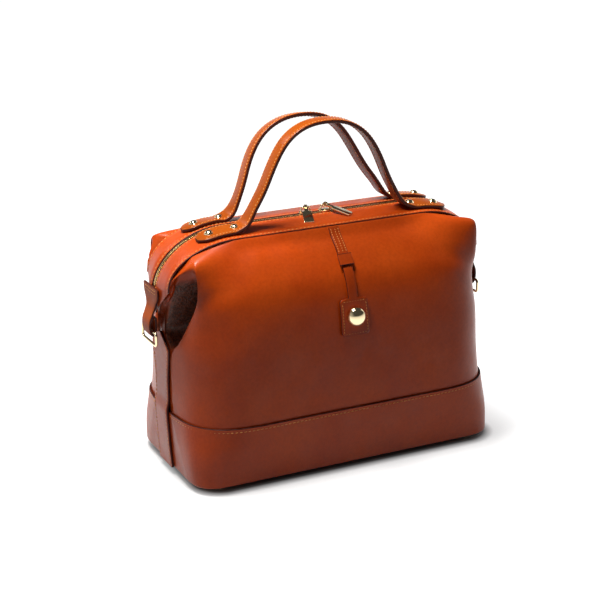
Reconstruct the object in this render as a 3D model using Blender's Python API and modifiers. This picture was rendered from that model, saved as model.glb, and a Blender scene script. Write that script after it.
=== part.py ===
"""A leather top-handle handbag, built as its separate pieces. Metres, +Z up, +X to the
bag's right end, -Y towards its front. The origin is on the table, under the bag's middle."""

import math

import bmesh
import bpy
from mathutils import Matrix, Vector

MM = 0.001

# Clearances between neighbouring pieces
GAP = 0.3 * MM
BAR_PLAY = 0.4 * MM

# Body: two panels that wrap from one end strip to the other
HALF_LENGTH = 149.5 * MM
HALF_DEPTH = 76.9 * MM
PANEL_LEATHER = 2.0 * MM
PANEL_FOOT_RISE = 2.3 * MM
PANEL_MEETING_GAP = 0.8 * MM
PLEAT_DEPTH = 27.0 * MM
# Rows of a panel from its foot to its sewn top edge. A share is of the half length, of the
# half depth, or of the height between foot and top edge.
PROFILE_SHARES = [
    (0.925, 0.0), (0.968, 0.106), (1.0, 0.252), (1.0, 0.408), (0.995, 0.535), (0.965, 0.643),
    (0.91, 0.74), (0.827, 0.823), (0.718, 0.887), (0.609, 0.936), (0.5, 0.972),
]
FOLD_SHARES = [
    (0.979, 0.60, 0.0), (0.99, 0.46, 0.106), (1.0, 0.27, 0.252), (1.0, 0.26, 0.39),
    (0.997, 0.27, 0.53), (0.983, 0.35, 0.575), (0.96, 0.39, 0.618), (0.933, 0.46, 0.682),
    (0.913, 0.54, 0.74), (0.908, 0.63, 0.815), (0.905, 0.60, 0.93),
]
CREASE_SHARES = [
    (0.979, 0.40, 0.0), (0.99, 0.31, 0.106), (1.0, 0.22, 0.252), (1.0, 0.215, 0.39),
    (1.0, 0.22, 0.52), (1.0, 0.19, 0.56), (0.995, 0.07, 0.61), (0.995, 0.13, 0.665),
    (0.995, 0.215, 0.73), (0.99, 0.31, 0.8), (0.98, 0.44, 0.885),
]
EDGE_SHARES = [
    (0.979, 0.17, 0.0), (0.99, 0.17, 0.106), (1.0, 0.17, 0.252), (1.0, 0.17, 0.39),
    (1.0, 0.15, 0.49), (1.0, 0.05, 0.55), (1.0, 0.0, 0.59), (1.0, 0.0, 0.64),
    (1.0, 0.08, 0.69), (1.0, 0.17, 0.735), (1.0, 0.27, 0.775),
]
CORNER_SHARES = [
    (0.979, 0.925), (1.0, 0.968), (0.985, 1.0), (0.94, 1.0), (0.93, 0.985), (0.91, 0.965),
    (0.905, 0.93), (0.90, 0.885), (0.89, 0.80), (0.875, 0.70), (0.86, 0.56),
]
STRAIGHT_SHARES = [0.82, 0.74, 0.62, 0.62, 0.6, 0.56, 0.54, 0.54, 0.54, 0.54, 0.54]
PLEAT_SHARES = [0.0, 0.0, 0.0, 0.0, 0.0, 0.25, 0.57, 0.82, 0.92, 0.85, 0.07, 0.0]
WALL_SPAN_SHARE = 0.32
WALL_DEPTH_SHARE = 0.85
CORNER_STEPS = 4
FRONT_STEPS = 3
# Where the top row's fold and crease meet the sewn edge, as shares of the end's quarter turn
FOLD_TURN_SHARE = 0.46
CREASE_TURN_SHARE = 0.86
# Half the span, as a share of a run, over which a curved face's normal is taken
NORMAL_SPAN_SHARE = 0.02

# Top: two panels with the zip between them, bent down over both ends
TOP_LEATHER = 2.0 * MM
ZIP_SLOT_HALF = 3.5 * MM
TOP_HALF_WIDTH = 33.0 * MM
TOP_LAP = 3.5 * MM
SEAM_CLEARANCE = 0.6 * MM
TOP_HEIGHT_AT_ZIP = 219.0 * MM
TOP_FALL = 3.5 * MM
TOP_HEIGHT_AT_EDGE = TOP_HEIGHT_AT_ZIP - TOP_FALL
TOP_OVERHANG = 7.0 * MM
TOP_REACH_AT_ZIP = HALF_LENGTH + TOP_OVERHANG
TOP_TAPER = 1.7 * MM
TOP_REACH_AT_EDGE = TOP_REACH_AT_ZIP - TOP_TAPER
# The quarter turn down over each end: how long and how high it is, and the straight tail
TOP_TURN_AT_ZIP = 68.5 * MM
TOP_TURN_AT_EDGE = 64.8 * MM
TOP_FLAT_AT_ZIP = TOP_REACH_AT_ZIP - TOP_TURN_AT_ZIP
TOP_FLAT_AT_EDGE = TOP_REACH_AT_EDGE - TOP_TURN_AT_EDGE
TOP_DROP_AT_ZIP = 54.0 * MM
TOP_DROP_AT_EDGE = 37.5 * MM
TOP_TAIL_AT_ZIP = 15.0 * MM
TOP_TAIL_AT_EDGE = 1.5 * MM
TOP_FLAT_STEPS = 5
TOP_TURN_STEPS = 9
TOP_TAIL_STEPS = 2
TOP_ACROSS_STEPS = 3

# Base: a band round the foot of each panel, a sole, a stiffener and five feet
BAND_LEATHER = 1.8 * MM
BAND_TOP_SHARES = [0.0, 0.106, 0.252]
BAND_LIP_CHAMFER = 0.9 * MM
BAND_LIP_REACH = 5.0 * MM
FOOT_HEIGHT = 6.0 * MM
FOOT_RADIUS = 6.5 * MM
FOOT_FLAT_RADIUS = 3.0 * MM
FOOT_RIM = 0.8 * MM
FOOT_DOME_STEPS = 3
FOOT_SHANK_RADIUS = 1.8 * MM
FOOT_WASHER_RADIUS = 4.0 * MM
FOOT_WASHER_THICKNESS = 0.8 * MM
FOOT_INSET_ALONG = 26.0 * MM
FOOT_INSET_ACROSS = 24.0 * MM
SOLE_LEATHER = 2.0 * MM
BOARD_THICKNESS = 2.4 * MM
BOARD_MARGIN = 1.0 * MM

# Lining: a fabric bag that stands on the stiffener. Each row is a share of the half length,
# of the half depth and of the height between its floor and its mouth.
LINING_CLOTH = 0.8 * MM
LINING_MOUTH_DROP = 9.0 * MM
LINING_MARGIN = 6.0 * MM
LINING_SHARES = [
    (0.90, 0.78, 0.0), (0.93, 0.86, 0.25), (0.93, 0.88, 0.48), (0.76, 0.82, 0.66),
    (0.70, 0.68, 0.86), (0.66, 0.42, 1.0),
]
LINING_CORNER_SHARE = 0.32
LINING_SIDES_PER_CORNER = 3

# End strips: a thick strap down the middle of each end, with a pointed top
STRIP_LEATHER = 2.2 * MM
STRIP_FOOT_HALF_WIDTH = 15.0 * MM
STRIP_SHOULDER_HALF_WIDTH = 19.0 * MM
STRIP_POINT_LENGTH = 12.0 * MM
STRIP_POINT_RISE = 0.5 * MM
STRIP_POINT_HALF_WIDTH = 1.5 * MM
STRIP_STEP_RUN = 12.0 * MM
STRIP_STEP_SHARES = [0.0, 0.3, 0.7, 1.0]

# Zip: tape and teeth on each side, two sliders with pullers
TAPE_THICKNESS = 0.6 * MM
TAPE_HALF_WIDTH = 11.0 * MM
TAPE_EDGE = 0.8 * MM
TOOTH_PITCH = 2.8 * MM
TOOTH_LENGTH = 1.05 * MM
TOOTH_REACH = 0.9 * MM
TOOTH_SLOT_CLEARANCE = 0.5 * MM
TOOTH_HEIGHT = 1.6 * MM
BEAD_WIDTH = 1.1 * MM
ZIP_TAIL = 4.0 * MM
SLIDER_LENGTH = 12.0 * MM
SLIDER_HALF_WIDTH = 4.3 * MM
SLIDER_NOSE_HALF_WIDTH = 2.6 * MM
SLIDER_THICKNESS = 1.5 * MM
SLIDER_LIFT = 0.35 * MM
LEFT_SLIDER_X = -10.0 * MM
RIGHT_SLIDER_X = 9.5 * MM
BAIL_RADIUS = 0.8 * MM
BAIL_RISE = 4.4 * MM
BAIL_HALF_LENGTH = 3.6 * MM
KNUCKLE_RADIUS = 2.1 * MM
KNUCKLE_LENGTH = 3.6 * MM
PULLER_THICKNESS = 1.5 * MM
PULLER_NECK_WIDTH = 3.6 * MM
PULLER_NECK_LENGTH = 9.0 * MM
PULLER_TAG_WIDTH = 8.6 * MM
PULLER_TAG_LENGTH = 17.0 * MM
PULLER_CORNER = 1.6 * MM
LEFT_PULLER_YAW = math.radians(-18.0)
RIGHT_PULLER_YAW = math.radians(40.0)

# Handles: a strap riveted down at both ends, with its arch hinged where the leather flexes
HANDLE_Y = 17.0 * MM
HANDLE_LEATHER = 3.4 * MM
ANCHOR_LEATHER = 3.0 * MM
ANCHOR_WIDTH = 21.0 * MM
ARCH_WIDTH = 16.0 * MM
ANCHOR_TIP_RUN = 30.5 * MM
ANCHOR_TIP_X = TOP_FLAT_AT_EDGE + ANCHOR_TIP_RUN
ANCHOR_LENGTH = 39.0 * MM
ANCHOR_LIFT_X = ANCHOR_TIP_X - ANCHOR_LENGTH
ANCHOR_FLAT_STEPS = 4
# From the tip to where the anchor is full width, as shares of its half width, and how wide
# the squared-off tip is
ANCHOR_TIP_SHARES = [0.0, 0.08, 0.3, 0.6, 1.0]
ANCHOR_TIP_WIDTH_SHARE = 0.3
STUB_RUN = 8.0 * MM
STUB_X = ANCHOR_LIFT_X - STUB_RUN
STUB_RISE = 5.5 * MM
STUB_BEND = math.radians(60.0)
STUB_STEPS = 5
# Where the arch's round ends have their sections, as shares of its half width
ARCH_END_SHARES = [0.97, 0.75, 0.4]
FRONT_ARCH_RISE = 71.3 * MM
REAR_ARCH_RISE = 68.5 * MM
# How far the middle of an arch's legs lies to the right of the hinge's middle
FRONT_ARCH_SWAY = 1.0 * MM
REAR_ARCH_SWAY = -3.0 * MM
# The arch's foot: how far inside the stub it starts, and how far it leans in by its first rise
ARCH_FOOT_INSET = 4.0 * MM
ARCH_FOOT_LEAN = 5.0 * MM
ARCH_FOOT_RISE_SHARE = 0.11
# Half of the arch's middle line, from the foot to the crown: shares of the stub's distance
# from the middle, and of the arch's rise.
ARCH_SHARES = [
    (0.805, 0.25), (0.738, 0.42), (0.655, 0.595), (0.56, 0.75), (0.43, 0.88), (0.235, 0.975),
    (0.0, 1.0),
]
REAR_HANDLE_LEAN = math.radians(12.0)
RIVET_INNER_INSET = 4.5 * MM
RIVET_OUTER_INSET = 11.0 * MM
RIVET_INNER_X = ANCHOR_LIFT_X + RIVET_INNER_INSET
RIVET_OUTER_X = ANCHOR_TIP_X - RIVET_OUTER_INSET
RIVET_CAP_RADIUS = 3.8 * MM
RIVET_CAP_HEIGHT = 2.6 * MM
RIVET_CAP_STEPS = 3
RIVET_SHANK_RADIUS = 1.4 * MM
RIVET_WASHER_THICKNESS = 0.8 * MM
RIVET_WASHER_RADIUS = 3.4 * MM

# Ends: a tab over the zip's end whose strap loops round a metal ring
TAB_LEATHER = 2.0 * MM
TAB_COVER = 24.0 * MM
TAB_LENGTH = 43.5 * MM
TAB_HALF_WIDTH = 18.5 * MM
TAB_STRAP_HALF_WIDTH = 9.0 * MM
LOOP_REACH = 7.0 * MM
LOOP_EYE_HEIGHT = 16.0 * MM
# The tab's middle line down to the loop's eye: shares of the loop's reach out from the tab's
# plane, of the tab's length, and of the change from tab to strap width.
TAB_SHARES = [
    (0.0, 1.0, 0.0), (0.0, 0.90, 0.0), (0.0, 0.80, 0.15), (0.04, 0.70, 0.55),
    (0.16, 0.58, 0.9), (0.55, 0.44, 1.0),
]
# The eye round the ring: shares of the loop's reach and of the eye's height
EYE_SHARES = [
    (0.93, 0.843), (1.0, 0.462), (0.78, 0.122), (0.40, 0.054), (0.10, 0.272), (0.0, 0.652),
    (0.0, 1.0),
]
RING_WIRE_RADIUS = 1.25 * MM
RING_HALF_WIDTH = 16.5 * MM
RING_DROP = 11.5 * MM
RING_CORNER = 3.0 * MM
RING_CORNER_STEPS = 3
RING_BAR_OUT_SHARE = 0.47
# The ring's play over the loop's lowest run
RING_SEAT_PLAY = 2.6 * MM

# Front fastening: a stitched strap with a keeper, and a hinged tab held by a press stud
STRAP_LEATHER = 1.8 * MM
STRAP_WIDTH = 10.0 * MM
STRAP_TUCK = 1.2 * MM
KEEPER_WIDTH = 13.5 * MM
KEEPER_LEATHER = 1.4 * MM
KEEPER_DROP = 19.4 * MM
KEEPER_HEIGHT = 8.0 * MM
CATCH_WIDTH = 9.0 * MM
CATCH_LEATHER = 2.0 * MM
CATCH_DROP = 1.9 * MM
CATCH_STRAP_LENGTH = 23.6 * MM
PLATE_WIDTH = 23.0 * MM
PLATE_HEIGHT = 30.5 * MM
PLATE_CORNER = 2.5 * MM
DOME_RADIUS = 8.0 * MM
DOME_BACK_SHARE = 0.35
DOME_DROP = 14.5 * MM
STUD_FLANGE_RADIUS = 5.0 * MM
STUD_FLANGE_THICKNESS = 0.6 * MM
STUD_RADIUS = 1.7 * MM
STUD_LENGTH = 1.3 * MM
STUD_SOCKET_CLEARANCE = 0.4 * MM

# How far a cutter runs past what it cuts
OVERRUN = 2.0 * MM

# Sides of the round pieces, and the edges that stay sharp when they are shaded
FOOT_SIDES = 12
RIVET_SIDES = 10
KNUCKLE_SIDES = 14
STUD_SIDES = 14
DOME_SIDES = 20
DOME_STEPS = 7
WIRE_RESOLUTION = 2
SHARP_EDGE = math.radians(40.0)
FLAT_EDGE = math.radians(0.5)

# Derived heights
SOLE_BOTTOM = FOOT_HEIGHT
SOLE_TOP = SOLE_BOTTOM + SOLE_LEATHER
PANEL_FOOT = SOLE_BOTTOM + PANEL_FOOT_RISE
PANEL_TOP = TOP_HEIGHT_AT_EDGE - TOP_LEATHER - SEAM_CLEARANCE
PANEL_SPAN = PANEL_TOP - PANEL_FOOT
BOARD_BOTTOM = SOLE_TOP + GAP
BOARD_TOP = BOARD_BOTTOM + BOARD_THICKNESS
TAB_TOP_HEIGHT = TOP_HEIGHT_AT_ZIP - TOP_DROP_AT_ZIP - TOP_TAIL_AT_ZIP + TAB_COVER
LOOP_BOTTOM_HEIGHT = TAB_TOP_HEIGHT - TAB_LENGTH
STRIP_POINT_HEIGHT = LOOP_BOTTOM_HEIGHT + STRIP_POINT_RISE
STRIP_SHOULDER_HEIGHT = STRIP_POINT_HEIGHT - STRIP_POINT_LENGTH
KEEPER_TOP_HEIGHT = PANEL_TOP - KEEPER_DROP
KEEPER_BOTTOM_HEIGHT = KEEPER_TOP_HEIGHT - KEEPER_HEIGHT
CATCH_TOP_HEIGHT = KEEPER_BOTTOM_HEIGHT - CATCH_DROP
PLATE_TOP_HEIGHT = CATCH_TOP_HEIGHT - CATCH_STRAP_LENGTH
PLATE_BOTTOM_HEIGHT = PLATE_TOP_HEIGHT - PLATE_HEIGHT
DOME_HEIGHT = PLATE_TOP_HEIGHT - DOME_DROP


def clear_scene():
    """Removes every object of the open file."""
    for item in list(bpy.data.objects):
        bpy.data.objects.remove(item)


def collection(name):
    made = bpy.data.collections.new(name)
    bpy.context.scene.collection.children.link(made)
    return made


def material(name, colour, roughness, metallic=0.0):
    made = bpy.data.materials.new(name)
    made.use_nodes = True
    shader = made.node_tree.nodes["Principled BSDF"]
    shader.inputs["Base Color"].default_value = (*colour, 1.0)
    shader.inputs["Roughness"].default_value = roughness
    shader.inputs["Metallic"].default_value = metallic
    return made


clear_scene()
BAG = collection("handbag")
CUTTERS = collection("cutters")
TAN = material("tan_leather", (0.50, 0.13, 0.025), 0.38)
STRAP_TAN = material("strap_leather", (0.56, 0.16, 0.035), 0.4)
SOLE_BROWN = material("sole_leather", (0.16, 0.06, 0.03), 0.6)
BRASS = material("pale_gold", (0.86, 0.66, 0.36), 0.18, 1.0)
TAPE_BROWN = material("zip_tape", (0.10, 0.045, 0.03), 0.8)
BOARD_GREY = material("stiffener_board", (0.30, 0.28, 0.25), 0.8)
LINING_BEIGE = material("lining_cloth", (0.42, 0.33, 0.24), 0.85)


def add_object(name, mesh, finish, home=BAG):
    """Links a mesh as a named object with one material."""
    made = bpy.data.objects.new(name, mesh)
    home.objects.link(made)
    mesh.materials.clear()
    mesh.materials.append(finish)
    if mesh.polygons:
        mesh.shade_smooth()
        mesh.set_sharp_from_angle(angle=SHARP_EDGE)
    return made


def mesh_from(shape, name):
    """Turns a bmesh into a mesh whose faces point out."""
    bmesh.ops.recalc_face_normals(shape, faces=shape.faces)
    made = bpy.data.meshes.new(name)
    shape.to_mesh(made)
    shape.free()
    return made


def evaluated_mesh(item):
    """A plain welded mesh of an object as its modifiers show it, in world space."""
    bpy.context.view_layer.update()
    seen = item.evaluated_get(bpy.context.evaluated_depsgraph_get())
    made = bpy.data.meshes.new_from_object(seen)
    made.transform(item.matrix_world)
    shape = bmesh.new()
    shape.from_mesh(made)
    bmesh.ops.remove_doubles(shape, verts=shape.verts, dist=GAP / 20)
    bmesh.ops.recalc_face_normals(shape, faces=shape.faces)
    shape.to_mesh(made)
    shape.free()
    return made


def baked(item):
    """Replaces an object by its evaluated mesh, in the same collection and finish."""
    name, home, finish = item.name, item.users_collection[0], item.active_material
    made = evaluated_mesh(item)
    bpy.data.objects.remove(item)
    return add_object(name, made, finish, home)


def joined(name, items, finish):
    """One cutter that holds several objects' solids side by side."""
    shape = bmesh.new()
    for item in items:
        part = evaluated_mesh(item)
        shape.from_mesh(part)
        bpy.data.objects.remove(item)
    made = bpy.data.meshes.new(name)
    shape.to_mesh(made)
    shape.free()
    return add_object(name, made, finish, CUTTERS)


def pivoted(item, point):
    """Moves an unturned object's origin to a point, and leaves its shape where it is."""
    item.data.transform(Matrix.Translation(item.location - point))
    item.location = point
    return item


def carried(item, carrier):
    """Parents an object to the one that carries it, and leaves it where it is."""
    bpy.context.view_layer.update()
    item.parent = carrier
    item.matrix_parent_inverse = carrier.matrix_world.inverted()


def boolean(item, other, operation):
    """Cuts or joins another object into an object, and hides the other as a guide."""
    change = item.modifiers.new(operation.lower(), "BOOLEAN")
    change.operation = operation
    change.object = other
    if other.users_collection[0] is not CUTTERS:
        other.users_collection[0].objects.unlink(other)
        CUTTERS.objects.link(other)
    other.hide_render = True
    other.display_type = "WIRE"


def open_grid(name, rows, finish):
    """An open surface through rows of points, with its faces pointing away from the bag's axis."""
    shape = bmesh.new()
    verts = [[shape.verts.new(point) for point in row] for row in rows]
    for low, high in zip(verts, verts[1:]):
        for a, b, c, d in zip(low, low[1:], high[1:], high):
            shape.faces.new((a, b, c, d))
    made = bpy.data.meshes.new(name)
    shape.to_mesh(made)
    shape.free()
    return add_object(name, made, finish)


def thicken(item, thickness):
    """Gives an open surface its thickness, on its inner side."""
    change = item.modifiers.new("leather", "SOLIDIFY")
    change.thickness = thickness
    change.offset = -1.0
    change.use_even_offset = True
    change.use_quality_normals = True
    change.thickness_clamp = 1.0
    return item


def turned(name, profile, finish, steps):
    """A solid turned about Z from (radius, height) points that run down its outer side."""
    mesh = bpy.data.meshes.new(name)
    mesh.from_pydata([(r, 0.0, z) for r, z in profile],
                     [(i, i + 1) for i in range(len(profile) - 1)], [])
    made = add_object(name, mesh, finish)
    change = made.modifiers.new("turn", "SCREW")
    change.steps = steps
    change.render_steps = steps
    change.use_merge_vertices = True
    change.merge_threshold = GAP / 20
    return made


def stand(item, place, normal):
    """Stands an object that was made along +Z on a place, along its normal."""
    item.rotation_mode = "QUATERNION"
    item.rotation_quaternion = Vector((0, 0, 1)).rotation_difference(normal)
    item.location = place


def cylinder(name, radius, length, centre, axis, finish, sides):
    """A plain cylinder centred on a point, along an axis."""
    shape = bmesh.new()
    bmesh.ops.create_cone(shape, cap_ends=True, segments=sides, radius1=radius,
                          radius2=radius, depth=length)
    made = add_object(name, mesh_from(shape, name), finish)
    stand(made, centre, axis)
    return made


def flat_outline(name, points, bottom, thickness, finish):
    """A closed outline in plan, given its thickness upwards from a height."""
    line = bpy.data.curves.new(name, "CURVE")
    line.dimensions = "2D"
    line.fill_mode = "BOTH"
    line.extrude = thickness / 2
    run = line.splines.new("POLY")
    run.points.add(len(points) - 1)
    for place, (x, y) in zip(run.points, points):
        place.co = (x, y, 0.0, 1.0)
    run.use_cyclic_u = True
    shown = bpy.data.objects.new(name, line)
    BAG.objects.link(shown)
    line.materials.append(finish)
    shown.location.z = bottom + thickness / 2
    return baked(shown)


def wire(name, points, radius, finish, closed=False):
    """A round wire along points."""
    line = bpy.data.curves.new(name, "CURVE")
    line.dimensions = "3D"
    line.bevel_depth = radius
    line.bevel_resolution = WIRE_RESOLUTION
    line.use_fill_caps = not closed
    run = line.splines.new("POLY")
    run.points.add(len(points) - 1)
    for place, point in zip(run.points, points):
        place.co = (*point, 1.0)
    run.use_cyclic_u = closed
    shown = bpy.data.objects.new(name, line)
    BAG.objects.link(shown)
    line.materials.append(finish)
    return baked(shown)


# A strap's section: shares of its half width and of its thickness, rounded on its face side
STRAP_SECTION_SHARES = [(-1.0, 0.0), (1.0, 0.0), (1.0, 0.72), (0.9, 1.0), (-0.9, 1.0),
                        (-1.0, 0.72)]


def strap(name, sections, finish):
    """A leather strap lofted through sections: (back point, across, face normal, half width,
    thickness). It starts and ends square."""
    shape = bmesh.new()
    rings = []
    for place, across, normal, half_width, thickness in sections:
        rings.append([
            shape.verts.new(place + across * (a * half_width) + normal * (b * thickness))
            for a, b in STRAP_SECTION_SHARES
        ])
    count = len(STRAP_SECTION_SHARES)
    for near, far in zip(rings, rings[1:]):
        for k in range(count):
            shape.faces.new((near[k], near[(k + 1) % count], far[(k + 1) % count], far[k]))
    shape.faces.new(rings[0])
    shape.faces.new(rings[-1])
    return add_object(name, mesh_from(shape, name), finish)


def blend(a, b, share):
    return a + (b - a) * share


def smooth(share):
    """Eases from 0 to 1."""
    share = min(max(share, 0.0), 1.0)
    return share * share * (3 - 2 * share)


def mirrored(point, in_x=False, in_y=False):
    return Vector((-point.x if in_x else point.x, -point.y if in_y else point.y, point.z))


def top_point(run, turn, tail, across):
    """A point on the left half of the front top panel's outer face. Across is 0 at the zip
    and 1 at the sewn edge. Run goes along the flat top, turn round the end, tail down to
    the pointed end; each is a share of its own stretch, and the later ones wait."""
    flat = blend(TOP_FLAT_AT_ZIP, TOP_FLAT_AT_EDGE, across)
    high = blend(TOP_HEIGHT_AT_ZIP, TOP_HEIGHT_AT_EDGE, across)
    drop = blend(TOP_DROP_AT_ZIP, TOP_DROP_AT_EDGE, across)
    reach = blend(TOP_REACH_AT_ZIP, TOP_REACH_AT_EDGE, across) - flat
    tail_length = blend(TOP_TAIL_AT_ZIP, TOP_TAIL_AT_EDGE, across)
    y = -blend(ZIP_SLOT_HALF, TOP_HALF_WIDTH, across)
    angle = turn * math.pi / 2
    x = -flat * run - reach * math.sin(angle)
    z = high - drop * (1 - math.cos(angle))
    return Vector((x, y, z - tail_length * tail))


def top_normal(run, turn, tail, across):
    """The outward normal there, from neighbouring points."""
    step = NORMAL_SPAN_SHARE
    a = top_point(run, turn, tail, across - step)
    b = top_point(run, turn, tail, across + step)
    if tail > 0 or turn >= 1:
        along = Vector((0, 0, -1))
    elif turn > 0:
        along = top_point(run, turn + step, tail, across) - top_point(run, turn - step, tail, across)
    else:
        along = Vector((-1, 0, 0))
    return along.cross(b - a).normalized()


def across_share(y):
    """The share across the top panel of a distance from the bag's middle plane."""
    return (y - ZIP_SLOT_HALF) / (TOP_HALF_WIDTH - ZIP_SLOT_HALF)


def top_under(x, y):
    """The outer face of the left half of the front top panel over a place, and its normal."""
    across = across_share(y)
    flat = blend(TOP_FLAT_AT_ZIP, TOP_FLAT_AT_EDGE, across)
    reach = blend(TOP_REACH_AT_ZIP, TOP_REACH_AT_EDGE, across)
    if abs(x) <= flat:
        key = (abs(x) / flat, 0.0, 0.0, across)
    else:
        key = (1.0, math.asin((abs(x) - flat) / (reach - flat)) / (math.pi / 2), 0.0, across)
    return top_point(*key), top_normal(*key)


def top_keys():
    """The steps along the left half of a top panel, from the middle to the end."""
    keys = [(i / TOP_FLAT_STEPS, 0.0, 0.0) for i in range(TOP_FLAT_STEPS)]
    keys += [(1.0, i / TOP_TURN_STEPS, 0.0) for i in range(TOP_TURN_STEPS)]
    keys += [(1.0, 1.0, i / TOP_TAIL_STEPS) for i in range(TOP_TAIL_STEPS + 1)]
    return keys


def lapped(turn, tail, run=1.0):
    """A point of a body panel's outer face under the top panel's sewn edge."""
    across = across_share(TOP_HALF_WIDTH - TOP_LAP)
    lift = TOP_LEATHER + SEAM_CLEARANCE
    return top_point(run, turn, tail, across) - top_normal(run, turn, tail, across) * lift


def body_place(x_share, y_share, z_share):
    return Vector((-HALF_LENGTH * x_share, -HALF_DEPTH * y_share - PANEL_MEETING_GAP,
                   PANEL_FOOT + PANEL_SPAN * z_share))


def panel_row(i):
    """Row i of the left half of the front panel, from its sewn end edge to the middle."""
    top_row = i == len(PROFILE_SHARES)
    if top_row:
        edge = lapped(1.0, 1.0)
        crease = lapped(CREASE_TURN_SHARE, 0.0)
        fold = lapped(FOLD_TURN_SHARE, 0.0)
        straight = lapped(0.0, 0.0)
        middle = lapped(0.0, 0.0, 0.0)
        corner = (fold + straight) / 2
        corner.z = lapped(FOLD_TURN_SHARE / 2, 0.0).z
    else:
        edge = body_place(*EDGE_SHARES[i])
        crease = body_place(*CREASE_SHARES[i])
        fold = body_place(*FOLD_SHARES[i])
        y_share, z_share = PROFILE_SHARES[i]
        middle = body_place(0.0, y_share, z_share)
        straight = body_place(STRAIGHT_SHARES[i], y_share, z_share)
        corner = body_place(*CORNER_SHARES[i], z_share)
        corner.z = (fold.z + straight.z) / 2
    inward = Vector((PLEAT_DEPTH * PLEAT_SHARES[i], 0, 0))
    walls = [
        blend(crease, fold, WALL_SPAN_SHARE) + inward * WALL_DEPTH_SHARE,
        blend(crease, fold, 0.5) + inward,
        blend(crease, fold, 1 - WALL_SPAN_SHARE) + inward * WALL_DEPTH_SHARE,
    ]
    row = [edge, crease, *walls]
    for k in range(CORNER_STEPS):
        t = k / CORNER_STEPS
        row.append(fold * (1 - t) ** 2 + corner * (2 * t * (1 - t)) + straight * t * t)
    for k in range(FRONT_STEPS):
        row.append(blend(straight, middle, k / FRONT_STEPS))
    return [*row, middle]


def panel_rows():
    """All rows of the whole front panel, from the left end's strip to the right end's."""
    rows = []
    for i in range(len(PROFILE_SHARES) + 1):
        half = panel_row(i)
        rows.append(half + [mirrored(p, in_x=True) for p in reversed(half[:-1])])
    return rows


def row_at(z_share):
    """The panel's row at a height share, between the rows of the table."""
    rows = panel_rows()
    shares = [share for _, share in PROFILE_SHARES]
    for i in range(len(shares) - 1):
        if z_share <= shares[i + 1]:
            t = (z_share - shares[i]) / (shares[i + 1] - shares[i])
            return [blend(a, b, t) for a, b in zip(rows[i], rows[i + 1])]
    return rows[-1]


def grown(row, out):
    """A row moved out, square to itself in plan, with its corners mitred."""
    runs = [(after - before).xy.normalized() for before, after in zip(row, row[1:])]
    moved = []
    for k, point in enumerate(row):
        before, after = runs[max(k - 1, 0)], runs[min(k, len(runs) - 1)]
        along = (before + after).normalized()
        mitre = out / along.dot(after)
        moved.append(point + Vector((along.y, -along.x, 0)) * mitre)
    return moved


def make_panels():
    rows = panel_rows()
    for name, in_y in (("front_panel", False), ("rear_panel", True)):
        placed = [[mirrored(p, in_y=in_y) for p in row] for row in rows]
        if in_y:
            placed = [row[::-1] for row in placed]
        thicken(open_grid(name, placed, TAN), PANEL_LEATHER)


def band_rows():
    """The base band's outer face, from its turned-under lip to its top edge."""
    outer = [grown(row_at(share), GAP + BAND_LEATHER) for share in BAND_TOP_SHARES]
    lip_edge = [Vector((p.x, p.y, SOLE_BOTTOM)) for p in grown(outer[0], -BAND_LIP_REACH)]
    lip_bend = [Vector((p.x, p.y, SOLE_BOTTOM)) for p in grown(outer[0], -BAND_LIP_CHAMFER)]
    foot = [Vector((p.x, p.y, SOLE_BOTTOM + BAND_LIP_CHAMFER)) for p in outer[0]]
    return [lip_edge, lip_bend, foot, *outer[1:]]


def bends(outline):
    """The points of a closed outline in plan at which it turns."""
    flat = [point.xy for point in outline]
    kept = []
    for before, point, after in zip(flat[-1:] + flat[:-1], flat, flat[1:] + flat[:1]):
        if (point - before).angle(after - point) > FLAT_EDGE:
            kept.append(point)
    return kept


def make_base():
    """The bands, the sole between them and the stiffener that stands on it."""
    rows = band_rows()
    for name, in_y in (("front_base_band", False), ("rear_base_band", True)):
        placed = [[mirrored(p, in_y=in_y) for p in row] for row in rows]
        if in_y:
            placed = [row[::-1] for row in placed]
        thicken(open_grid(name, placed, TAN), BAND_LEATHER)
    front = grown(rows[0], -GAP)
    outline = front + [mirrored(p, in_y=True) for p in reversed(front)]
    sole = flat_outline("sole", bends(outline), SOLE_BOTTOM, SOLE_LEATHER, SOLE_BROWN)
    front = grown(panel_rows()[0], -PANEL_LEATHER - BOARD_MARGIN)
    outline = front + [mirrored(p, in_y=True) for p in reversed(front)]
    board = flat_outline("stiffener_board", bends(outline), BOARD_BOTTOM, BOARD_THICKNESS,
                         BOARD_GREY)
    return sole, board


def foot_places():
    x = HALF_LENGTH - FOOT_INSET_ALONG
    y = HALF_DEPTH - FOOT_INSET_ACROSS
    places = {"middle_foot": Vector((0, 0, 0))}
    for end, i in (("left", -1), ("right", 1)):
        for side, j in (("front", -1), ("rear", 1)):
            places[f"{side}_{end}_foot"] = Vector((i * x, j * y, 0))
    return places


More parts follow.
